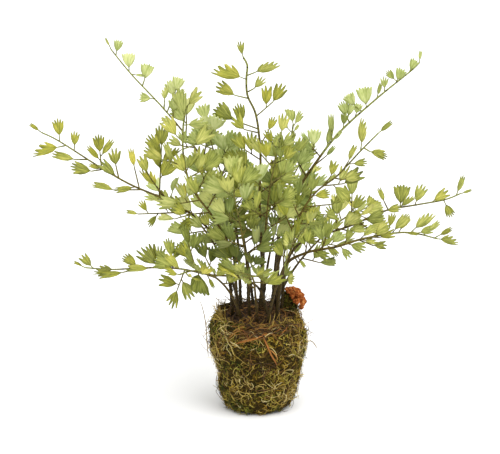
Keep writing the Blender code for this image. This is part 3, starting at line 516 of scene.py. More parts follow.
wrap_tree = tree_of(wrap.data)


def lay_on_front(rows):
    """Lines and ways up for hand-laid strips, each dropped on the wrap from the front."""
    lines, ups = [], []
    for points, proud, *rest in rows:
        route = Route([(x, 0, z) for x, z in points])
        line, up = [], []
        for k in range(FIBRE_RINGS):
            aim = route.at(k / (FIBRE_RINGS - 1))[0] * MM
            spot = wrap_tree.ray_cast(Vector((aim.x, IN_FRONT, aim.z)), INWARD)[0]
            if spot is None:
                spot = wrap_tree.find_nearest(Vector((aim.x, -0.03, aim.z)))[0]
            normal = Vector((spot.x, spot.y, 0.01)).normalized()
            tucked = 0.35 if k in (0, FIBRE_RINGS - 1) else 1.0
            line.append(spot + normal * proud * MM * tucked)
            up.append(normal)
        lines.append(line)
        ups.append(up)
    lines = np.array(lines)
    lines[:, 1:-1] = 0.25 * lines[:, :-2] + 0.5 * lines[:, 1:-1] + 0.25 * lines[:, 2:]
    return lines, np.array(ups)


# Stripped bark and coir: orange brown and dull.
bark_fibre = fibrous("bark_fibre_stripped", 0.65, 1.45,
                     [(0.0, "#4f2c10"), (0.5, "#864f1b"), (0.8, "#ad6d28"), (1.0, "#c99148")])
for name, rows, material in (("bark_strips", BARK_STRIPS, bark_fibre),
                             ("long_straws", LONG_STRAWS, straw)):
    lines, ups = lay_on_front(rows)
    width = np.array([row[2] for row in rows]) * MM * 0.5
    depth = np.array([row[3] for row in rows]) * MM * 0.5
    pile(name, fibre, lay_fibres(fibre, lines, ups, width, depth), material,
         {"tone": [row[4] for row in rows]})

# The spill over the front of the rim lies mostly crosswise.
SPILL = 170
luck = np.random.default_rng(47)
across, high = luck.normal(3, 14, SPILL), luck.normal(96, 5, SPILL)
starts = [(x * MM, IN_FRONT, z * MM) for x, z in zip(across, high) if 78 < z < 108]
spots, out = land(wrap_tree, starts, INWARD, 0.001)
sideways = (1, 0, 0.25) * luck.choice((-1, 1), (len(out), 1))
copies = strew(luck, fibre, spots, along_surface(luck, out, sideways, 0.35), out,
               length=(0.008, 0.022), lift=(0.0, 0.3), drop=(0.2, 0.7), curl=(0.1, 1.2), wobble=0.15,
               width=(0.0003, 0.0006), depth=(0.0003, 0.0005))
pile("rim_fibres", fibre, copies, dead_root, {"tone": luck.uniform(0, 1, len(copies)) ** 1.2})

# The tufts stand all round the rim, and thickest on the left shoulder.
TUFTS = 130
SHOULDER_TUFTS = 45
SHOULDER = math.radians(200)
luck = np.random.default_rng(41)
turns = np.concatenate([luck.uniform(0, 2 * math.pi, TUFTS),
                        luck.normal(SHOULDER, 0.35, SHOULDER_TUFTS)])
ring = np.stack([np.cos(turns), np.sin(turns), 0 * turns], 1)
spots = np.array([wrap_tree.find_nearest(Vector(spot * luck.uniform(0.036, 0.046)) + UP * 0.102)[0]
                  for spot in ring])
bias = unit(ring * 0.7 + np.array((0, 0, 1.0)) + 0.8 * luck.normal(size=ring.shape))
copies = strew(luck, fibre, spots - bias * 0.001, bias, unit(np.cross(bias, np.roll(ring, 1, 1))),
               length=(0.005, 0.016), lift=(-0.3, 0.3), drop=(-0.5, 1.1), curl=(0.2, 2.0), wobble=0.25,
               width=(0.0002, 0.00045), depth=(0.0002, 0.0004))
pile("rim_tufts", fibre, copies, straw, {"tone": luck.uniform(0.0, 0.75, len(copies))})

# ---------------------------------------------------------------------------- fronds
# Each frond is one wiry stem: a bare stalk set in the soil, then the rachis with short side twigs,
# and fan-shaped leaflets on hair-thin petioles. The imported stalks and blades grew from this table.


def back_twigs(kinds, way):
    """The twigs of a frond that hangs to the back. These all fork alike, some the other way round."""
    habit = ((1.0, 5, 2, 16), (0.93, -52, 7, 16), (0.89, 54, 9, 16), (0.81, -56, 14, 16),
             (0.76, 56, 15, 17), (0.67, -58, 18, 17), (0.61, 58, 19, 17), (0.52, -58, 20, 17),
             (0.46, 60, 20, 17), (0.37, -60, 18, 16), (0.33, 60, 16, 16))
    return [(share, way * angle, length, carried, size)
            for (share, angle, length, size), carried in zip(habit, kinds.split())]


# route: mm, from the soil to the tip. stalk: radius. bare: share without leaflets. spread: how far
# twigs swing out of the blade's plane, in degrees. face: the way the blade's upper side looks.
# twigs: (share along the frond, angle, length, kinds from the tip inwards, leaf length).
# looks: (how pale the leaflets are, how bright, how much that varies, the rachis' radius at its tip).
FRONDS = {
    "left_long": {
        "route": ((-25, -6, 100), (-31, -9, 153), (-50, -12, 189), (-83, -15, 214),
                  (-124, -18, 233), (-155, -22, 252), (-193, -27, 278), (-210, -29, 287)),
        "stalk": 1.6, "bare": 0.33, "spread": 10, "face": (0, -0.95, 0.3),
        "looks": (0.14, 0.46, 0.12, 0.75),
        "twigs": (
            (1.0, 5, 2, "t", 10), (0.93, 55, 5, "h", 15), (0.905, -43, 8, "w", 26),
            (0.872, 60, 4, "h", 13), (0.815, -30, 13, "t", 18), (0.76, 55, 15, "htt", 16),
            (0.752, -40, 12, "h", 18), (0.745, -28, 4, "t", 11), (0.695, -10, 3, "h", 17),
            (0.69, 43, 13, "h", 17), (0.625, -50, 2, "t", 16), (0.61, 55, 22, "t", 15),
            (0.6, -24, 28, "t", 18), (0.535, 72, 50, "hhwhh", 20), (0.515, 33, 31, "h", 15),
            (0.505, 30, 18, "w", 20), (0.42, -33, 50, "thhh", 12), (0.41, -100, 3, "h", 14),
            (0.4, 14, 4, "w", 22), (0.37, -75, 4, "h", 12),
        ),
    },
    "left_low": {
        "route": ((11, -26, 98), (3, -33, 129), (-8, -37, 140), (-21, -41, 146), (-47, -46, 149),
                  (-76, -50, 156), (-108, -54, 158), (-141, -57, 157), (-167, -58, 159)),
        "stalk": 1.3, "bare": 0.27, "spread": 10, "face": (0, -0.85, 0.55),
        "looks": (0.1, 0.27, 0.12, 0.75),
        "twigs": (
            (1.0, 8, 2, "t", 10), (0.965, 30, 2, "h", 12), (0.86, -8, 3, "w", 17),
            (0.755, 24, 3, "h", 14), (0.74, -10, 20, "t", 20), (0.685, -16, 6, "t", 20),
            (0.66, 22, 5, "h", 19), (0.655, 50, 8, "hh", 16), (0.6, 78, 12, "hh", 16),
            (0.57, 0, 6, "f", 18), (0.545, -80, 24, "hhh", 19), (0.49, 62, 28, "hhh", 18),
            (0.48, -90, 2, "f", 23), (0.44, -125, 3, "t", 11), (0.4, 64, 20, "hh", 18),
            (0.31, 70, 16, "hh", 17),
        ),
    },
    "back_left_high": {
        "route": ((-17, 10, 100), (-20, 22, 169), (-29, 30, 203), (-53, 40, 245),
                  (-72, 48, 271), (-96, 56, 299), (-128, 64, 332), (-149, 70, 357)),
        "stalk": 1.5, "bare": 0.26, "spread": 16, "face": (-0.2, -0.9, 0.4),
        "looks": (0.8, 0.62, 0.15, 0.75),
        "twigs": (
            (1.0, 12, 3, "t", 9), (0.975, 52, 3, "f", 11), (0.905, 36, 3, "f", 14),
            (0.895, 150, 3, "t", 9), (0.84, 58, 7, "f", 14), (0.78, -58, 3, "f", 11),
            (0.735, 40, 9, "w", 13), (0.72, 58, 23, "ffh", 15), (0.69, 40, 7, "f", 14),
            (0.66, -50, 5, "h", 13), (0.62, 42, 20, "ff", 16), (0.57, -45, 13, "hh", 14),
            (0.52, 46, 25, "fff", 17), (0.48, -52, 18, "fh", 16), (0.42, 46, 27, "fff", 18),
            (0.38, -48, 22, "hf", 17), (0.32, 52, 26, "fhf", 18), (0.28, -52, 22, "ff", 17),
        ),
    },
    "left_tall": {
        "route": ((-20, -16, 100), (-23, -20, 156), (-28, -23, 174), (-44, -27, 203),
                  (-64, -30, 232), (-72, -33, 263), (-72, -35, 295), (-68, -36, 314)),
        "stalk": 1.5, "bare": 0.31, "spread": 32, "face": (0, -0.9, 0.42),
        "looks": (0.35, 0.62, 0.15, 0.9),
        "twigs": (
            (1.0, 52, 2, "h", 18), (0.95, -28, 3, "h", 21), (0.915, 80, 4, "w", 20),
            (0.845, -50, 8, "h", 19), (0.81, 68, 13, "h", 22), (0.735, -62, 24, "ht", 18),
            (0.71, 42, 4, "h", 16), (0.69, -30, 5, "h", 18), (0.68, 80, 18, "fh", 20),
            (0.6, 62, 24, "hhh", 18), (0.58, 14, 4, "w", 23), (0.57, -60, 22, "hh", 19),
            (0.52, 60, 26, "hhh", 18), (0.5, -62, 24, "hhh", 18), (0.45, 60, 24, "hfh", 18),
            (0.41, -58, 18, "hh", 16), (0.36, 60, 22, "hhh", 17), (0.33, -62, 16, "hh", 16),
        ),
    },
    "crown_tall": {
        "route": ((5, 0, 102), (4, 0, 163), (2, 2, 214), (3, 3, 248), (2, 3, 274), (-2, 3, 301),
                  (-10, 2, 319), (-11, 0, 337), (-10, -2, 349), (-14, -3, 357)),
        "stalk": 1.6, "bare": 0.29, "spread": 16, "face": (0, -0.93, 0.35),
        "looks": (0.15, 0.57, 0.12, 1.05),
        "twigs": (
            (1.0, 4, 2, "h", 12), (0.925, 60, 10, "w", 21), (0.91, -72, 6, "w", 25),
            (0.86, 70, 8, "h", 13), (0.835, -52, 14, "h", 19), (0.76, 58, 22, "hh", 17),
            (0.71, -62, 27, "fh", 17), (0.695, -72, 15, "h", 21), (0.645, 36, 17, "h", 14),
            (0.59, -52, 18, "hh", 18), (0.55, 56, 24, "hhh", 18), (0.51, -56, 26, "fhh", 19),
            (0.46, 56, 26, "hhh", 18), (0.42, -56, 26, "hhh", 18), (0.37, 60, 24, "hhh", 18),
            (0.33, -60, 26, "hhh", 18),
        ),
    },
    "right_tall": {
        "route": ((15, 6, 100), (19, 8, 156), (27, 14, 196), (32, 18, 223), (30, 22, 246),
                  (33, 26, 266), (36, 30, 286)),
        "stalk": 1.4, "bare": 0.34, "spread": 32, "face": (0.1, -0.9, 0.4),
        "looks": (0.55, 0.42, 0.15, 0.9),
        "twigs": (
            (1.0, -18, 2, "f", 14), (0.985, 40, 4, "h", 13), (0.955, -66, 5, "h", 10),
            (0.95, 42, 3, "t", 9), (0.88, 20, 3, "t", 12), (0.87, -68, 7, "f", 13),
            (0.82, 50, 9, "h", 15), (0.79, -60, 13, "fh", 18), (0.74, 60, 13, "fh", 17),
            (0.64, -72, 19, "fh", 18), (0.58, 52, 16, "hhf", 17), (0.5, -56, 19, "hh", 17),
            (0.46, 56, 19, "hhf", 17), (0.39, -52, 18, "hh", 17),
        ),
    },
    "back_right_high": {
        "route": ((19, 15, 100), (21, 18, 147), (23, 22, 182), (37, 28, 213), (59, 35, 246),
                  (84, 42, 277), (122, 52, 310), (156, 62, 336), (165, 66, 344)),
        "stalk": 1.9, "bare": 0.27, "spread": 16, "face": (0.2, -0.9, 0.4),
        "looks": (0.85, 0.42, 0.15, 0.75),
        "twigs": (
            (1.0, -34, 2, "t", 9), (0.95, -12, 2, "f", 12), (0.9, -112, 3, "h", 11),
            (0.895, -22, 2, "f", 13), (0.845, -52, 3, "h", 13), (0.81, -32, 3, "t", 12),
            (0.765, -56, 2, "f", 19), (0.745, -100, 9, "f", 12), (0.715, -28, 3, "f", 11),
            (0.69, -72, 7, "hh", 13), (0.66, -20, 3, "h", 11), (0.605, -40, 8, "t", 16),
            (0.6, 4, 2, "t", 12), (0.575, -22, 3, "t", 18), (0.54, -80, 15, "tff", 15),
            (0.5, 18, 17, "t", 13), (0.46, -68, 19, "ff", 18), (0.41, 52, 15, "hh", 16),
            (0.36, -60, 21, "ffh", 17), (0.31, 58, 18, "hh", 16), (0.29, -58, 20, "ff", 17),
        ),
    },
    "right_upper": {
        "route": ((13, -11, 100), (23, -14, 161), (43, -18, 205), (58, -20, 227), (78, -22, 243),
                  (100, -26, 268), (117, -28, 286)),
        "stalk": 1.4, "bare": 0.40, "spread": 10, "face": (0.1, -0.9, 0.42),
        "looks": (0.3, 0.46, 0.15, 0.85),
        "twigs": (
            (1.0, 8, 2, "t", 15), (0.91, 76, 7, "h", 17), (0.89, -42, 7, "w", 24),
            (0.81, 68, 4, "h", 13), (0.775, -12, 10, "t", 16), (0.72, 44, 9, "h", 17),
            (0.675, 0, 2, "t", 10), (0.66, 30, 20, "hhh", 18), (0.655, -14, 13, "h", 16),
            (0.59, 58, 2, "h", 15), (0.57, -20, 8, "h", 17), (0.53, 54, 28, "h", 15),
            (0.52, 66, 3, "w", 16), (0.51, 74, 22, "w", 15), (0.48, -54, 14, "hh", 16),
            (0.44, 62, 10, "hh", 16), (0.41, -50, 14, "h", 16),
        ),
    },
    "right_long": {
        "route": ((24, -1, 99), (30, -2, 152), (47, 2, 173), (69, 6, 179), (95, 9, 187),
                  (128, 12, 201), (161, 14, 207), (188, 14, 212), (203, 14, 218)),
        "stalk": 1.5, "bare": 0.31, "spread": 10, "face": (0, -0.9, 0.42),
        "looks": (0.25, 0.44, 0.14, 0.75),
        "twigs": (
            (1.0, 18, 2, "t", 9), (0.985, -42, 3, "t", 16), (0.93, 80, 4, "h", 14),
            (0.88, -4, 2, "h", 16), (0.81, -46, 3, "h", 19), (0.75, -68, 3, "f", 19),
            (0.745, 1, 2, "w", 19), (0.7, -96, 9, "t", 13), (0.68, 26, 3, "h", 14),
            (0.605, -150, 4, "h", 10), (0.585, 34, 3, "f", 16), (0.57, 58, 9, "h", 17),
            (0.535, -64, 31, "hhh", 17), (0.5, -20, 4, "f", 16), (0.49, 30, 10, "h", 17),
            (0.47, -66, 15, "hh", 16), (0.44, -6, 2, "h", 15), (0.435, -158, 2, "f", 19),
            (0.36, -62, 18, "hhh", 17), (0.325, 58, 2, "h", 15),
        ),
    },
    "right_low": {
        "route": ((19, -20, 98), (26, -26, 150), (46, -31, 167), (78, -36, 175), (104, -40, 184),
                  (144, -44, 191), (175, -46, 185)),
        "stalk": 1.8, "bare": 0.34, "spread": 10, "face": (0, -0.85, 0.5),
        "looks": (0.28, 0.44, 0.14, 0.75),
        "twigs": (
            (1.0, 1, 2, "w", 19), (0.985, -38, 6, "t", 13), (0.935, -38, 5, "t", 14),
            (0.9, -4, 3, "h", 11), (0.875, -46, 6, "w", 23), (0.84, 16, 3, "t", 10),
            (0.82, -50, 3, "h", 15), (0.79, -24, 4, "h", 19), (0.765, -60, 8, "h", 12),
            (0.7, 12, 3, "f", 15), (0.695, 20, 8, "h", 17), (0.645, 26, 3, "w", 14),
            (0.64, -6, 4, "h", 16), (0.635, 38, 16, "h", 13), (0.58, 56, 3, "h", 17),
            (0.565, -30, 3, "h", 15), (0.545, 62, 2, "h", 11), (0.46, -62, 10, "hh", 17),
            (0.45, -48, 2, "w", 15), (0.42, 52, 3, "h", 13), (0.38, -60, 9, "hh", 16),
            (0.34, 75, 4, "t", 9),
        ),
    },
    "crown_left": {
        "route": ((-9, 12, 101), (-11, 12, 150), (-20, 12, 195), (-34, 13, 232),
                  (-45, 14, 266), (-51, 15, 290)),
        "stalk": 1.5, "bare": 0.30, "spread": 44, "face": (-0.2, -0.9, 0.4),
        "looks": (0.75, 0.68, 0.22, 0.75),
        "twigs": (
            (1.0, -20, 3, "f", 17), (0.93, 52, 10, "ff", 17), (0.86, -54, 12, "fh", 17),
            (0.78, 54, 18, "fff", 18), (0.70, -54, 18, "fhf", 17), (0.62, 54, 22, "fhf", 18),
            (0.54, -56, 20, "fh", 17), (0.47, 56, 24, "hfh", 18), (0.40, -58, 22, "hh", 17),
            (0.34, 58, 22, "hfh", 17),
        ),
    },
    "crown_right": {
        "route": ((2, -10, 102), (6, -14, 158), (9, -18, 202), (13, -20, 236), (19, -21, 264),
                  (23, -22, 284)),
        "stalk": 1.4, "bare": 0.32, "spread": 44, "face": (0.05, -0.92, 0.4),
        "looks": (0.4, 0.66, 0.22, 0.75),
        "twigs": (
            (1.0, 4, 2, "h", 15), (0.93, 48, 7, "h", 16), (0.91, -52, 9, "h", 15),
            (0.84, 50, 11, "hh", 16), (0.81, -54, 18, "hh", 17), (0.73, 52, 16, "hhh", 17),
            (0.68, -54, 22, "hfh", 18), (0.60, 56, 20, "hhh", 18), (0.54, -56, 24, "hhh", 18),
            (0.47, 58, 22, "hhh", 18), (0.42, -58, 24, "hhh", 18), (0.36, 58, 20, "hhh", 17),
        ),
    },
    "crown_front": {
        "route": ((-8, -22, 101), (-10, -34, 150), (-16, -42, 192), (-22, -46, 224),
                  (-24, -48, 244)),
        "stalk": 1.3, "bare": 0.34, "spread": 44, "face": (0, -0.9, 0.45),
        "looks": (0.35, 0.56, 0.25, 0.75),
        "twigs": (
            (1.0, 6, 2, "f", 20), (0.92, 54, 10, "fh", 20), (0.87, -56, 12, "fh", 20),
            (0.76, 56, 18, "fhh", 20), (0.70, -56, 18, "hfh", 19), (0.60, 58, 20, "hhh", 19),
            (0.53, -58, 20, "hhh", 19), (0.45, 58, 20, "hhh", 18), (0.39, -60, 18, "hh", 18),
            (0.36, 40, 14, "hh", 18),
        ),
    },
    "front_centre": {
        "route": ((0, -32, 96), (-2, -46, 126), (-4, -66, 148), (-8, -92, 160), (-12, -118, 158)),
        "stalk": 1.3, "bare": 0.32, "face": (0, -0.45, 0.9),
        "looks": (0.25, 0.44, 0.25, 0.75),
        "twigs": (
            (1.0, -5, 2, "h", 19), (0.90, 54, 9, "h", 19), (0.85, -56, 9, "h", 18),
            (0.74, 58, 16, "hh", 18), (0.68, -58, 15, "hh", 18), (0.56, 60, 18, "hh", 18),
            (0.50, -60, 18, "hhh", 18), (0.40, 60, 15, "hh", 17),
        ),
    },
    "front_left": {
        "route": ((-15, -27, 97), (-26, -42, 128), (-42, -66, 152), (-60, -92, 164),
                  (-74, -116, 166)),
        "stalk": 1.3, "bare": 0.33, "face": (-0.1, -0.5, 0.85),
        "looks": (0.25, 0.42, 0.25, 0.75),
        "twigs": (
            (1.0, 5, 2, "h", 18), (0.91, -54, 8, "h", 17), (0.87, 56, 9, "h", 18),
            (0.76, -58, 16, "hh", 17), (0.70, 58, 16, "hh", 18), (0.59, -60, 17, "hh", 17),
            (0.52, 60, 18, "hhh", 18), (0.42, -60, 14, "hh", 17),
        ),
    },
    "front_right": {
        "route": ((9, -34, 95), (17, -46, 132), (27, -62, 166), (38, -80, 194), (48, -96, 210)),
        "stalk": 1.3, "bare": 0.33, "face": (0.1, -0.5, 0.85),
        "looks": (0.3, 0.48, 0.25, 0.75),
        "twigs": (
            (1.0, 4, 2, "h", 18), (0.91, 54, 8, "h", 16), (0.87, -56, 9, "h", 17),
            (0.76, 58, 15, "hh", 17), (0.70, -58, 16, "hh", 17), (0.59, 60, 16, "hh", 17),
            (0.52, -60, 18, "hhh", 17), (0.42, 60, 15, "hh", 16),
        ),
    },
    "back_far_left": {
        "route": ((-17, 20, 98), (-32, 38, 138), (-56, 64, 172), (-82, 94, 192), (-104, 122, 198)),
        "stalk": 1.4, "bare": 0.30, "face": (-0.3, -0.2, 0.92),
        "looks": (0.45, 0.53, 0.22, 0.75),
        "twigs": back_twigs("f h f hf fh fh hfh fhh hfh hf hf", 1),
    },
    "back_left": {
        "route": ((-4, 22, 100), (-10, 44, 142), (-18, 72, 180), (-30, 100, 208), (-42, 126, 222)),
        "stalk": 1.4, "bare": 0.30, "face": (-0.1, 0.1, 0.95),
        "looks": (0.5, 0.53, 0.22, 0.75),
        "twigs": back_twigs("f f h fh hf hf fhh hfh fhf fh fh", 1),
    },
    "back_right": {
        "route": ((5, 20, 100), (12, 40, 146), (24, 64, 190), (38, 90, 222), (50, 114, 240)),
        "stalk": 1.4, "bare": 0.30, "face": (0.1, 0.1, 0.95),
        "looks": (0.5, 0.6, 0.22, 0.75),
        "twigs": back_twigs("f h f hf fh fh hfh fhh hfh hf hf", -1),
    },
    "back_far_right": {
        "route": ((15, 22, 98), (38, 42, 134), (64, 62, 160), (92, 88, 178), (116, 112, 184)),
        "stalk": 1.4, "bare": 0.31, "face": (0.3, -0.2, 0.92),
        "looks": (0.45, 0.53, 0.22, 0.75),
        "twigs": back_twigs("f f h fh hf hf fhh hfh fhf fh fh", -1),
    },
}
# A twig no longer than this, mm, is only the longer petiole of its tip leaflet.
DIRECT_LENGTH = 6
PETIOLE = 3.5
TIP_PETIOLE = 1.5
# By kind of leaflet, a hand, a wing, a tulip or a fan: its width to its length, and how far it lifts.
LEAF_WIDTH = {"h": 0.66, "w": 0.52, "t": 0.37, "f": 0.9}
LEAN = {"h": (0.3, 0.6), "w": (0.0, 0.15), "t": (0.1, 0.3), "f": (0.25, 0.55)}
# A leaflet that points down more steeply than this doesn't lift.
HANGING = -0.6
# How far a side leaflet turns away from its twig, and the spread where a frond's row gives none.
SIDE_TURN = math.radians(48)
SPREAD = 20
# Where two fronds would have crossed, a twig or a leaflet was turned away by one of these angles.
TWIG_TILTS = (0, 18, -18, 34, -34)
LEAF_TILTS = (0, 24, -24, 46, -46)
# How near its place a packed blade's corner is, mm.
FOUND = 0.4


def frond_frame(route, share, face):
    """Point, direction, right-hand side and upper side of the blade at a share."""
    here, ahead = route.at(share)
    side = ahead.cross(face).normalized()
    return here, ahead, side, side.cross(ahead).normalized()


def twig_leaves(start, direction, side, upper, length, kinds, size, luck):
    """The twig's leaflets, tip first and then alternately down its two sides."""
    made = []
    count = len(kinds)
    for k, kind in enumerate(kinds):
        leaf_size = size * luck.uniform(0.94, 1.18)
        roll = luck.choice((-1, 1)) * math.radians(luck.uniform(3, 36))
        lean = luck.uniform(*LEAN[kind])
        if k == 0:
            carried = length if length > DIRECT_LENGTH else 0.0
            root = start + direction * carried
            way = direction
            petiole = TIP_PETIOLE + length - carried
        else:
            turn = SIDE_TURN * (1 if (k % 2 == 1) == (side.z > 0) else -1)
            root = start + direction * length * (1 - 0.8 * k / count)
            way = direction * math.cos(turn) + side * math.sin(turn)
            petiole = PETIOLE
        lean = lean if way.z > HANGING else 0.0
        along = (way + UP * lean).normalized()
        normal = (upper - along * upper.dot(along)).normalized()
        made.append((root, along, Matrix.Rotation(roll, 3, along) @ normal, petiole, leaf_size,
                     kind))
    return made


def on_frame(leaf, corners_of_blade):
    """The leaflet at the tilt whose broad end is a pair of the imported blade's corners, or None."""
    root, along, normal, petiole, size, kind = leaf
    for degrees in LEAF_TILTS:
        turn = Matrix.Rotation(math.radians(degrees), 3, along.cross(normal))
        way, over = turn @ along, turn @ normal
        half = way.cross(over) * (0.5 * size * LEAF_WIDTH[kind])
        end = root + way * (petiole + size)
        if all(corners_of_blade.find(end + s * half)[2] < FOUND for s in (-1, 1)):
            return root, way, over, petiole, size, kind
    return None


def grow_twigs(name, frond, route):
    """The frond's twigs as packed: (share, start, direction, length, leaflets, upper side)."""
    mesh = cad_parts[name + "_blade"].data
    corners_of_blade = kdtree.KDTree(len(mesh.vertices))
    for i, vertex in enumerate(mesh.vertices):
        corners_of_blade.insert(vertex.co / MM, i)
    corners_of_blade.balance()
    luck = random.Random(name)
    face = Vector(frond["face"]).normalized()
    twigs = []
    for share, angle, length, kinds, size in frond["twigs"]:
        here, ahead, side, upper = frond_frame(route, share, face)
        turn = math.radians(angle + luck.uniform(-4, 4))
        flat = ahead * math.cos(turn) + side * math.sin(turn)
        across = side * math.cos(turn) - ahead * math.sin(turn)
        lift = luck.uniform(-1, 1) * frond.get("spread", SPREAD)
        seed = luck.random()
        for tilt in TWIG_TILTS:
            swing = Matrix.Rotation(math.radians(lift + tilt), 3, across)
            direction, up = swing @ flat, swing @ upper
            leaves = twig_leaves(here, direction, across, up, length, kinds, size,
                                 random.Random(seed))
            tip = on_frame(leaves[0], corners_of_blade)
            if tip:
                rest = [on_frame(leaf, corners_of_blade) for leaf in leaves[1:]]
                twigs.append((share, here, direction, length,
                              [tip] + [leaf for leaf in rest if leaf], up))
                break
    return twigs


# ---------------------------------------------------------------------------- stems
# Stalk, rachis, twigs and petioles are one wire-thin growth that tapers towards the tip. Each is
# drawn as a round wire along its middle, and the wires of one frond are made one mesh. Radii, mm.
TWIG_RADIUS = 0.78
TWIG_TIP = 0.64
PETIOLE_RADIUS = 0.58
# How much younger the bark gets with each mm away from the middle of the frond.
YOUNGER = 1 / 90
# Where along it a young frond's stem is still pale green.
GREEN_FROM = {"back_right_high": 0.56, "back_left_high": 0.7, "right_tall": 0.6, "left_tall": 0.8}
GREEN_TIP = 0.95

# Fern stem, wiry and polished: dark brown at the soil, olive then green towards the tip, with
# dark scales and fine streaks about 2 mm long.
stem_skin, shader = new_material("fern_stem_polished", 0.55, ior=1.25)
age = add_node(stem_skin, "Attribute", attribute_name="age").outputs["Fac"]
place = add_node(stem_skin, "TexCoord").outputs["Object"]
tint = add_node(stem_skin, "ValToRGB", {"Fac": age},
                stops=[(0.0, "#33290b"), (0.2, "#433611"), (0.4, "#574617"), (0.62, "#6d6229"),
                       (0.85, "#78763a"), (1.0, "#8b914c")])
scales = add_node(stem_skin, "TexNoise", {"Vector": place, "Scale": 1 / 0.0017, "Detail": 2.0})
dark = add_node(stem_skin, "ValToRGB", {"Fac": scales.outputs["Fac"]},
                stops=[(0.36, "#5f584a"), (0.5, "#f4f2ea")])
both = add_node(stem_skin, "Mix", {0: 1.0, 6: tint.outputs["Color"], 7: dark.outputs["Color"]},
                data_type="RGBA", blend_type="MULTIPLY")
feed(stem_skin, shader, "Base Color", both.outputs[2])


def draw_stems(name, lines, roundness, ages, middle):
    """Stems as round wires along lines of (place, radius) in mm, made one closed mesh.

    ages says how old the bark is at each point of the frond's middle, 0 at the soil and 1 at the
    tip, and a twig gets younger as it leaves the middle."""
    curve = bpy.data.curves.new(name, "CURVE")
    curve.dimensions = "3D"
    curve.bevel_depth = MM
    curve.bevel_resolution = roundness
    curve.use_fill_caps = True
    for line in lines:
        spline = curve.splines.new("POLY")
        spline.points.add(len(line) - 1)
        for point, (spot, radius) in zip(spline.points, line):
            point.co = (*(Vector(spot) * MM), 1.0)
            point.radius = radius
    stem = bpy.data.objects.new(name, curve)
    bpy.context.scene.collection.objects.link(stem)
    rest_all()
    stem.select_set(True)
    bpy.context.view_layer.objects.active = stem
    bpy.ops.object.convert(target="MESH")
    stem = bpy.context.object
    stem.data.materials.clear()
    stem.data.materials.append(stem_skin)
    points = np.array([v.co for v in stem.data.vertices]) / MM
    near = np.linalg.norm(points[:, None] - np.array(middle)[None], axis=2)
    age = np.array(ages)[near.argmin(1)] + near.min(1) * YOUNGER
    stem.data.attributes.new("age", "FLOAT", "POINT").data.foreach_set(
        "value", np.clip(age, 0, 1).astype(np.float32))
    stem.data.shade_smooth()
    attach(stem, "root")
    return stem


# ---------------------------------------------------------------------------- leaflets
# Paper-thin blades with fingers at their outer edge, cupped and twisted a little. Each outline is
# modelled once, flat, of length and width 1, and every leaflet is a copy that is bent on its own.


def model_leaf(outline, teeth, thick=0.024):
    """A leaflet of length 1 along Y, flat, from a grid pulled to its outline and toothed.

    outline: rows of places across the blade, from the petiole outwards; teeth: (the middle of an
    edge, the tooth's reach, how wide it is half way and at its tip)."""
    rest_all()
    rows, columns = len(outline) - 1, len(outline[0]) - 1
    bpy.ops.mesh.primitive_grid_add(x_subdivisions=columns, y_subdivisions=rows, size=1,
                                    location=(0.5, 0.5, 0))
    bpy.ops.object.transform_apply()
    leaf = bpy.context.object
    bpy.ops.object.mode_set(mode="EDIT")
    work = bmesh.from_edit_mesh(leaf.data)
    grid = {(round(v.co.y * rows), round(v.co.x * columns)): v.index for v in work.verts}
    for (i, k), index in grid.items():
        bpy.ops.mesh.select_all(action="DESELECT")
        work = bmesh.from_edit_mesh(leaf.data)
        work.verts.ensure_lookup_table()
        vertex = work.verts[index]
        vertex.select = True
        x, y = outline[i][k]
        bpy.ops.transform.translate(value=(x - vertex.co.x, y - vertex.co.y, 0))
    for (x, y), reach, middle, tip in teeth:
        bpy.ops.mesh.select_all(action="DESELECT")
        work = bmesh.from_edit_mesh(leaf.data)
        rim = [e for e in work.edges if e.is_boundary]
        edge = min(rim, key=lambda e: (0.5 * (e.verts[0].co + e.verts[1].co)
                                       - Vector((x, y, 0))).length)
        centre = 0.5 * (edge.verts[0].co + edge.verts[1].co)
        edge.select = True
        for part, size in ((0.55, middle), (0.45, tip / middle)):
            step = Vector((*reach, 0)) * part
            bpy.ops.mesh.extrude_region_move(TRANSFORM_OT_translate={"value": step})
            centre += step
            bpy.ops.transform.resize(value=(size, size, size), center_override=centre)
    bpy.ops.mesh.select_all(action="SELECT")
    bpy.ops.mesh.normals_make_consistent(inside=False)
    bpy.ops.object.mode_set(mode="OBJECT")
    wall = leaf.modifiers.new("wall", "SOLIDIFY")
    wall.thickness = thick
    wall.offset = 0
    bpy.ops.object.modifier_apply(modifier=wall.name)
    return take_shape(leaf)


def fan_rows(columns, rows):
    """Rows of an outline from (height, half width, how far the middle runs ahead)."""
    made = []
    for high, half, ahead in rows:
        places = [2 * k / columns - 1 for k in range(columns + 1)]
        made.append([(half * x, high + ahead * (1 - x * x)) for x in places])
    return made


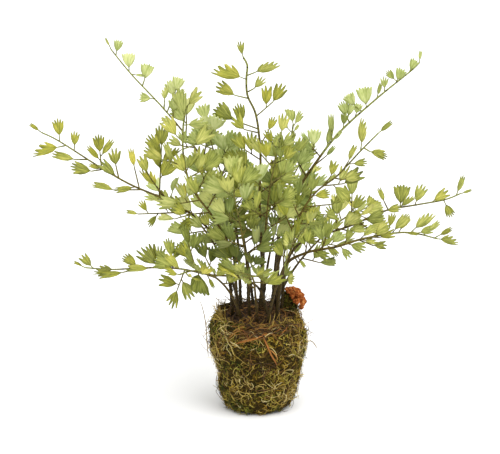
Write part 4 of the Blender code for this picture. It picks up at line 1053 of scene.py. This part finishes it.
LEAF_SHAPES = {
    # Hands of four, five and three pointed fingers, and one of four long ones.
    "h": [
        model_leaf(fan_rows(4, ((0, 0.04, 0), (0.18, 0.26, 0.02), (0.4, 0.42, 0.03), (0.6, 0.47, 0.05))),
                   (((-0.35, 0.61), (-0.1, 0.24), 0.76, 0.42), ((-0.12, 0.64), (-0.03, 0.35), 0.74, 0.38),
                    ((0.12, 0.64), (0.07, 0.31), 0.74, 0.38), ((0.35, 0.61), (0.13, 0.2), 0.76, 0.42))),
        model_leaf(fan_rows(5, ((0, 0.04, 0), (0.2, 0.3, 0.02), (0.44, 0.45, 0.04), (0.64, 0.47, 0.06))),
                   (((-0.38, 0.65), (-0.07, 0.17), 0.78, 0.45), ((-0.19, 0.68), (-0.04, 0.26), 0.74, 0.4),
                    ((0, 0.7), (0.02, 0.3), 0.74, 0.4), ((0.19, 0.68), (0.07, 0.24), 0.74, 0.4),
                    ((0.38, 0.65), (0.09, 0.15), 0.78, 0.45))),
        model_leaf(fan_rows(3, ((0, 0.04, 0), (0.22, 0.3, 0.02), (0.46, 0.44, 0.03), (0.65, 0.44, 0.04))),
                   (((-0.29, 0.66), (-0.11, 0.25), 0.7, 0.36), ((0, 0.69), (-0.02, 0.31), 0.66, 0.34),
                    ((0.29, 0.66), (0.14, 0.27), 0.7, 0.36))),
        model_leaf(fan_rows(4, ((0, 0.04, 0), (0.18, 0.24, 0.02), (0.37, 0.4, 0.03), (0.53, 0.45, 0.05))),
                   (((-0.34, 0.54), (-0.13, 0.29), 0.74, 0.4), ((-0.11, 0.57), (-0.04, 0.43), 0.72, 0.36),
                    ((0.11, 0.57), (0.09, 0.37), 0.72, 0.36), ((0.34, 0.54), (0.15, 0.24), 0.74, 0.4))),
    ],
    # A lopsided wing, with its teeth on one edge.
    "w": [
        model_leaf([[(-0.05, 0), (0, 0), (0.05, 0)],
                    [(-0.3, 0.18), (0, 0.15), (0.29, 0.13)],
                    [(-0.44, 0.39), (-0.06, 0.37), (0.28, 0.34)],
                    [(-0.48, 0.59), (-0.19, 0.57), (0.08, 0.53)],
                    [(-0.47, 0.76), (-0.33, 0.75), (-0.16, 0.7)]],
                   (((0.28, 0.24), (0.21, 0.17), 0.68, 0.4), ((0.18, 0.44), (0.21, 0.2), 0.68, 0.38),
                    ((-0.04, 0.62), (0.16, 0.21), 0.68, 0.38), ((-0.25, 0.73), (0.07, 0.22), 0.7, 0.4),
                    ((-0.4, 0.76), (-0.04, 0.24), 0.74, 0.4))),
    ],
    # A narrow tulip of three.
    "t": [
        model_leaf(fan_rows(3, ((0, 0.06, 0), (0.22, 0.38, 0.03), (0.49, 0.48, 0.03), (0.73, 0.42, 0.03))),
                   (((-0.28, 0.73), (-0.04, 0.22), 0.7, 0.38), ((0, 0.76), (0.03, 0.24), 0.68, 0.36),
                    ((0.28, 0.73), (0.08, 0.18), 0.7, 0.38))),
    ],
    # Broad fans with a shallow frill, whose every second tooth is longer.
    "f": [
        model_leaf(fan_rows(6, ((0, 0.04, 0), (0.24, 0.28, 0.05), (0.5, 0.43, 0.1), (0.72, 0.47, 0.14))),
                   [((-0.39 + 0.156 * k, 0.73 + 0.13 * (1 - (k / 2.5 - 1) ** 2)),
                     (0.08 * (k / 2.5 - 1), 0.1 + 0.04 * (k % 2)), 0.8, 0.4) for k in range(6)]),
        model_leaf(fan_rows(5, ((0, 0.04, 0), (0.24, 0.28, 0.05), (0.5, 0.43, 0.09), (0.7, 0.46, 0.12))),
                   [((-0.37 + 0.184 * k, 0.7 + 0.12 * (1 - (k / 2 - 1) ** 2)),
                     (0.1 * (k / 2 - 1), 0.15 + 0.06 * (k % 2)), 0.78, 0.35) for k in range(5)]),
    ],
}


def set_leaf(shape, leaf, luck):
    """A leaflet's points at its place, cupped, curled and twisted a little as paper-thin ones are."""
    root, along, normal, petiole, size, kind = leaf
    points = shape[0]
    wide, turned = size * LEAF_WIDTH[kind] * 1.03, luck.choice((-1, 1))
    if kind == "w":
        turned = 1 if along.cross(normal).z > 0 else -1
    x, y, z = points[:, 0] * turned, points[:, 1], points[:, 2] * turned
    bend = (luck.uniform(-0.1, 0.3) * x * x * 2 + luck.uniform(-0.12, 0.1) * y * y
            + luck.uniform(-0.16, 0.16) * x * y
            + 0.02 * np.sin(9 * x + luck.uniform(0, 6)) * y * y * (2.2 if kind == "f" else 1))
    frame_of = np.array([along.cross(normal), along, normal])
    local = np.stack([x * wide, petiole + y * size, (z + bend) * size], 1)
    return (np.array(root) + local @ frame_of) * MM


# Leaflet: a thin membrane that lets light through. Yellow green with a deeper olive in streaks
# between its forked veins, which fan from the petiole 1 to 2 mm apart.
LIGHT_THROUGH = 0.27
leaflet_skin, shader = new_material("fern_leaflet_membrane", 0.52, ior=1.38)
tone = add_node(leaflet_skin, "Attribute", attribute_name="tone").outputs["Fac"]
pale = add_node(leaflet_skin, "Attribute", attribute_name="pale").outputs["Fac"]
spread = add_node(leaflet_skin, "UVMap", uv_map="leaf_map").outputs["UV"]
axes = add_node(leaflet_skin, "SeparateXYZ", {0: spread})
ahead = add_node(leaflet_skin, "Math", {0: axes.outputs["Y"], 1: 0.15}, operation="ADD")
angle = add_node(leaflet_skin, "Math", {0: axes.outputs["X"], 1: ahead.outputs[0]},
                 operation="ARCTAN2")
ribs = add_node(leaflet_skin, "Math", {0: angle.outputs[0], 1: 46.0}, operation="MULTIPLY")
waves = add_node(leaflet_skin, "Math", {0: ribs.outputs[0]}, operation="SINE")
# The streaks: noise that is drawn out along the veins and differs from one leaflet to the next.
seed = add_node(leaflet_skin, "Math", {0: tone, 1: 61.0}, operation="MULTIPLY")
drawn = add_node(leaflet_skin, "CombineXYZ", {0: angle.outputs[0], 1: axes.outputs["Y"],
                                              2: seed.outputs[0]})
longer = add_node(leaflet_skin, "VectorMath", {0: drawn.outputs[0], 1: (6.0, 1.8, 1.0)},
                  operation="MULTIPLY")
streaks = add_node(leaflet_skin, "TexNoise", {"Vector": longer.outputs[0], "Scale": 1.0,
                                              "Detail": 2.0, "Roughness": 0.6})
swing = add_node(leaflet_skin, "MapRange", {0: streaks.outputs["Fac"], 1: 0.3, 2: 0.7, 3: -0.42,
                                            4: 0.42})
level = add_node(leaflet_skin, "Math", {0: tone, 1: swing.outputs[0]}, operation="ADD")
strong = add_node(leaflet_skin, "ValToRGB", {"Fac": level.outputs[0]},
                  stops=[(0.0, "#686a15"), (0.25, "#888a20"), (0.5, "#a4a42c"), (0.75, "#bfb93c"),
                         (1.0, "#dad15a")])
thin = add_node(leaflet_skin, "ValToRGB", {"Fac": level.outputs[0]},
                stops=[(0.0, "#8e9c4a"), (0.5, "#b8c474"), (1.0, "#dee2a2")])
green = add_node(leaflet_skin, "Mix", {0: pale, 6: strong.outputs["Color"],
                                       7: thin.outputs["Color"]}, data_type="RGBA")
veins = add_node(leaflet_skin, "MapRange", {0: waves.outputs[0], 1: 0.2, 2: 1.0, 3: 0.0, 4: 0.26})
veined = add_node(leaflet_skin, "Mix", {0: veins.outputs[0], 6: green.outputs[2],
                                        7: linear("#dcdc8c")}, data_type="RGBA")
# The fingers of the stronger leaflets deepen to olive at their tips.
tips = add_node(leaflet_skin, "MapRange", {0: axes.outputs["Y"], 1: 0.6, 2: 0.95, 3: 0.0, 4: 0.6})
firm = add_node(leaflet_skin, "Math", {0: 1.0, 1: pale}, operation="SUBTRACT")
olive = add_node(leaflet_skin, "Math", {0: tips.outputs[0], 1: firm.outputs[0]}, operation="MULTIPLY")
tipped = add_node(leaflet_skin, "Mix", {0: olive.outputs[0], 6: veined.outputs[2],
                                        7: linear("#65701e")}, data_type="RGBA")
# The crown's leaflets are lusher, a few degrees greener than those of the long fronds, and those
# deepest in it are darkened towards a deep green by painted shade.
lush = add_node(leaflet_skin, "Attribute", attribute_name="lush").outputs["Fac"]
hue = add_node(leaflet_skin, "Math", {0: lush, 1: 0.013, 2: 0.5}, operation="MULTIPLY_ADD")
greener = add_node(leaflet_skin, "HueSaturation", {"Hue": hue.outputs[0],
                                                   "Color": tipped.outputs[2]})
# Painted shade: the shade attribute mixes a leaflet's colour towards dark green deep in the crown.
shade = add_node(leaflet_skin, "Attribute", attribute_name="shade").outputs["Fac"]
deep = add_node(leaflet_skin, "Mix", {0: shade, 6: greener.outputs["Color"], 7: linear("#2a3f0a")},
                data_type="RGBA")
feed(leaflet_skin, shader, "Base Color", deep.outputs[2])
rise = add_node(leaflet_skin, "Bump", {"Height": waves.outputs[0], "Distance": 0.0001,
                                       "Strength": 0.5})
feed(leaflet_skin, shader, "Normal", rise.outputs["Normal"])
glow = add_node(leaflet_skin, "BsdfTranslucent", {"Color": deep.outputs[2]})
skin = add_node(leaflet_skin, "MixShader", {0: LIGHT_THROUGH, 1: shader.outputs[0], 2: glow.outputs[0]})
output = leaflet_skin.node_tree.nodes["Material Output"]
leaflet_skin.node_tree.links.new(skin.outputs[0], output.inputs["Surface"])

# Where the crown and the heart of its painted shade are, and their half sizes, in metres.
CROWN, CROWN_SIZE = np.array((-0.005, 0, 0.2)), np.array((0.07, 0.08, 0.075))
PAINTED_SHADE_HEART, PAINTED_SHADE_SIZE = np.array((-0.02, -0.008, 0.162)), np.array((0.056, 0.07, 0.048))
# How far the painted shade darkens a leaflet at most.
DARKEST_PAINTED_SHADE = 0.6
FAN_PALER = 0.15


def pile_leaflets(name, kind, shape, grown, faded, varied, luck):
    """All of a frond's leaflets of one shape, grown as (points, share along the frond, tone)."""
    copies = np.stack([points for points, share, tone in grown])
    centres = copies.mean(1)
    # Painted shade: the nearer a leaflet lies to the heart of the crown, the darker its colour.
    shade_distance = np.linalg.norm((centres - PAINTED_SHADE_HEART) / PAINTED_SHADE_SIZE, axis=1)
    pale = [faded + luck.gauss(0, varied) + (FAN_PALER if kind == "f" else 0) for leaf in grown]
    return pile(name, shape, copies, leaflet_skin, {
        "tone": np.clip([tone + 0.12 * (share - 0.6) for points, share, tone in grown], 0, 1),
        "pale": np.clip(pale, 0, 1),
        "lush": np.clip(1.7 - np.linalg.norm((centres - CROWN) / CROWN_SIZE, axis=1), 0, 1),
        "shade": np.clip(0.85 * (1.2 - shade_distance), 0, DARKEST_PAINTED_SHADE)}, uv=shape[0][:, :2])


# ---------------------------------------------------------------------------- fronds, put together
# A frond's stalk stands in its hole in the soil, and thins a little to where the blade begins. The
# rachis goes on from there, and each leaflet hangs on its own petiole, of its own tone of green.
STALK_SINK = 8
STALK_SPANS = 22
RACHIS_POINTS = 44
BLADE_FOOT = 0.82
for name, frond in FRONDS.items():
    luck = random.Random(name + " looks")
    route = Route(frond["route"])
    bare, thick = frond["bare"], frond["stalk"]
    faded, bright, varied, rachis_tip = frond["looks"]
    shares = np.linspace(0, 1, 90)
    middle = [route.at(share)[0] for share in shares]
    stalk = [(route.at(0)[0] - UP * STALK_SINK, thick * 1.1)]
    for k in range(STALK_SPANS + 1):
        part = k / STALK_SPANS
        stalk.append((route.at(bare * part)[0], thick * (1.15 - 0.3 * part) * luck.uniform(0.93, 1.07)))
    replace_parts(draw_stems(name + "_stalk_bark", [stalk], 3, shares, middle),
                name + "_stalk")

    first = thick * BLADE_FOOT
    lines = [[(route.at(share)[0], first + (rachis_tip - first) * (share - bare) / (1 - bare))
              for share in np.linspace(bare, 1, RACHIS_POINTS)]]
    leaves = {}
    for share, here, direction, length, carried, up in grow_twigs(name, frond, route):
        if length > DIRECT_LENGTH:
            bow = up * (0.02 * length * luck.choice((-1, 1)))
            lines.append([(here, TWIG_RADIUS), (here + direction * length * 0.35 + bow, TWIG_RADIUS),
                          (here + direction * length * 0.7 + bow, TWIG_RADIUS * 0.9),
                          (here + direction * length, TWIG_TIP)])
        for leaf in carried:
            root, along, normal, petiole, size, kind = leaf
            lines.append([(root, PETIOLE_RADIUS), (root + along * petiole * 0.5, PETIOLE_RADIUS),
                          (root + along * (petiole + 0.06 * size), PETIOLE_RADIUS * 0.9)])
            which = luck.randrange(len(LEAF_SHAPES[kind]))
            leaves.setdefault((kind, which), []).append(
                (set_leaf(LEAF_SHAPES[kind][which], leaf, luck), share, luck.gauss(bright, varied)))
    ages = np.where(shares > GREEN_FROM.get(name, GREEN_TIP), 1.0, shares)
    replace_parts(draw_stems(name + "_rachis", lines, 1, ages, middle), name + "_blade")

    parts = [pile_leaflets("%s_%s%d" % (name, kind, which), kind, LEAF_SHAPES[kind][which], grown,
                           faded, varied, luck)
             for (kind, which), grown in leaves.items()]
    rest_all()
    for part in parts:
        part.select_set(True)
    bpy.context.view_layer.objects.active = parts[0]
    bpy.ops.object.join()
    blade = bpy.context.object
    blade.name = name + "_leaflets"
    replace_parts(blade, name + "_blade")

# ---------------------------------------------------------------------------- stalk scales
# Dark papery bristles, 3 to 5 mm long, that clothe the feet of the stalks and point up along them.
luck = np.random.default_rng(61)
spots, out = [], []
for frond in FRONDS.values():
    route = Route(frond["route"])
    for share in luck.uniform(0.0, 0.35 * frond["bare"], 18):
        here, ahead = route.at(share)
        way = Matrix.Rotation(luck.uniform(0, 2 * math.pi), 3, ahead) @ ahead.orthogonal().normalized()
        spots.append((here + way * frond["stalk"]) * MM)
        out.append(way)
spots, out = np.array(spots), np.array(out)
copies = strew(luck, sprig, spots, along_surface(luck, out, (0, 0, 1.5), 0.5), out,
               length=(0.0025, 0.005), lift=(0.2, 0.7), drop=(0.0, 0.8), curl=(0.0, 1.0), wobble=0.2,
               width=(0.0002, 0.0004), depth=(0.0002, 0.0003))
pile("stalk_scales", sprig, copies, dead_root, {"tone": luck.uniform(0, 0.5, len(copies))})

# ---------------------------------------------------------------------------- rust lichen
# A rust-red crust, dry and crinkled like a rolled ear, that has grown together from lobes. It sits
# at the right of the rim on a mossy scrap of bark.

# Lichen: matt and rust red, in flecks of 2 to 3 mm that follow its relief: painted shade darkens the
# hollows and painted highlights lighten the raised flecks.
lichen_crust = crumbly("rust_lichen_crust", 0.9, 1.25, 0.0024, detail=3.0, rough=0.65, relief=0.001,
                       strength=0.8, stops=[(0.3, "#451f0d"), (0.43, "#82411b"), (0.56, "#b0622d"),
                                            (0.7, "#d79756")])
# (centre, half sizes, turn about Y in degrees), mm.
LICHEN_LOBES = (
    ((30.5, 1, 121.5), (3.6, 4.2, 2.8), 15), ((35, 0, 123.2), (4.4, 4.6, 3.2), 10),
    ((39.8, 0, 120.8), (4.2, 5.0, 4.0), 35), ((43.8, 1, 115.5), (3.8, 5.2, 4.8), 20),
    ((46, 2, 109.5), (3.2, 5.0, 5.0), 5), ((45, 3, 103.8), (3.0, 4.5, 3.4), -10),
    ((35.5, 0, 116.5), (3.0, 4.4, 3.2), -20), ((39.5, 0, 110.8), (3.2, 4.6, 3.0), 30),
    ((38, 6, 114.5), (7.0, 4.5, 7.0), 0),
)


def add_lobe(centre, half, turn, subdivisions):
    """An egg-shaped lump, mm, turned about Y by degrees."""
    bpy.ops.mesh.primitive_ico_sphere_add(subdivisions=subdivisions, radius=1,
                                          location=[c * MM for c in centre],
                                          rotation=(0, math.radians(turn), 0),
                                          scale=[h * MM for h in half])
    bpy.ops.object.transform_apply()
    return bpy.context.object


rest_all()
lobes = [add_lobe(centre, half, turn, 3) for centre, half, turn in LICHEN_LOBES]
for lobe in lobes:
    lobe.select_set(True)
bpy.context.view_layer.objects.active = lobes[0]
bpy.ops.object.join()
crust = bpy.context.object
crust.name = "rust_lichen_crust"
fused = crust.modifiers.new("fused", "REMESH")
fused.mode = "VOXEL"
fused.voxel_size = 0.00045
bpy.ops.object.modifier_apply(modifier=fused.name)
roughen(crust, "lichen_crinkle", ((0.0055, 0.0042), (0.002, 0.0024)), 0.55)
crust.data.materials.clear()
crust.data.materials.append(lichen_crust)
crust.data.shade_smooth()
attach(crust, "root")
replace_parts(crust, "rust_lichen")

# The scrap of bark under it: dark, mossed over, wedged behind the wrap's rim.
rest_all()
scrap = add_lobe((32, 6, 107), (6.8, 6, 12.5), -25, 5)
scrap.name = "mossed_bark_scrap"
roughen(scrap, "scrap_clods", ((0.007, 0.005), (0.0025, 0.0022)), 0.5)
scrap.data.materials.append(mat)
scrap.data.shade_smooth()
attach(scrap, "root")
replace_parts(scrap, "rust_lichen")
luck = np.random.default_rng(53)
spots, out = spots_on(scrap.data, 420, luck, lambda made, out: made[:, 2] > 0.098)
copies = strew(luck, sprig, spots - out * 0.0004, along_surface(luck, out, (0, 0, 0.2), 1.0), out,
               length=(0.003, 0.0065), lift=(0.1, 0.7), drop=(0.2, 1.4), curl=(0.1, 1.3), wobble=0.25,
               width=(0.00025, 0.0005), depth=(0.0002, 0.0004))
pile("scrap_sprigs", sprig, copies, sprig_green,
     {"tone": np.clip(luck.normal(0.3, 0.18, len(copies)), 0, 1),
      "green": np.clip(luck.normal(0.75, 0.2, len(copies)), 0, 1)})

# ---------------------------------------------------------------------------- stray roots
# Two dead roots, wiry and dry, that have worked loose from the wrap and hang clear of the moss.
STRAY_ROOTS = {
    "stray_root_left": ((-49.5, -15, 57), (-50.5, -15, 72), (-51.5, -15, 88), (-54, -15, 104),
                        (-58, -15, 116)),
    "stray_root_right": ((51.2, -9, 71), (54.5, -12, 72), (57.5, -13, 69), (60, -14, 65)),
}
for name, points in STRAY_ROOTS.items():
    route = Route(points)
    line = np.array([[route.at(k / (FIBRE_RINGS - 1))[0] for k in range(FIBRE_RINGS)]]) * MM
    ups = np.tile((0.0, -1.0, 0.0), (1, FIBRE_RINGS, 1))
    root = pile(name + "_wiry", fibre, lay_fibres(fibre, line, ups, 0.0006, 0.0005), straw,
                {"tone": [0.08]})
    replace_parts(root, name)

# ---------------------------------------------------------------------------- floor, light, camera
# A white paper sweep under an even white sky, with one broad soft light high in front. The camera
# looks slightly down on the plant. Paper: matt and a little off white.
paper, shader = new_material("studio_paper_white", 0.8)
shader.inputs["Base Color"].default_value = linear("#fafafa")
rest_all()
bpy.ops.mesh.primitive_plane_add(size=20)
floor = bpy.context.object
floor.name = "floor"
floor.data.materials.append(paper)

world = bpy.data.worlds.new("studio")
bpy.context.scene.world = world
world.use_nodes = True
world.node_tree.nodes["Background"].inputs["Color"].default_value = (1, 1, 1, 1)
world.node_tree.nodes["Background"].inputs["Strength"].default_value = 1.0

rest_all()
bpy.ops.object.light_add(type="SUN", location=(0.5, -0.85, 2.1))
key = bpy.context.object
key.name = "key_light"
key.data.energy = 1.98
key.data.angle = math.radians(42)
aim = Vector((0, 0, 0.15)) - key.location
key.rotation_euler = aim.to_track_quat("-Z", "Y").to_euler()

TARGET = Vector((-0.0075, 0, 0.187))
DISTANCE = 1.7
HEIGHT = math.radians(12)
rest_all()
bpy.ops.object.camera_add(
    location=TARGET + Vector((0, -DISTANCE * math.cos(HEIGHT), DISTANCE * math.sin(HEIGHT))),
    rotation=(math.pi / 2 - HEIGHT, 0, 0))
camera = bpy.context.object
camera.data.sensor_width = 36
camera.data.lens = 36 * DISTANCE / 0.5
bpy.context.scene.camera = camera
bpy.context.scene.view_settings.view_transform = "Standard"
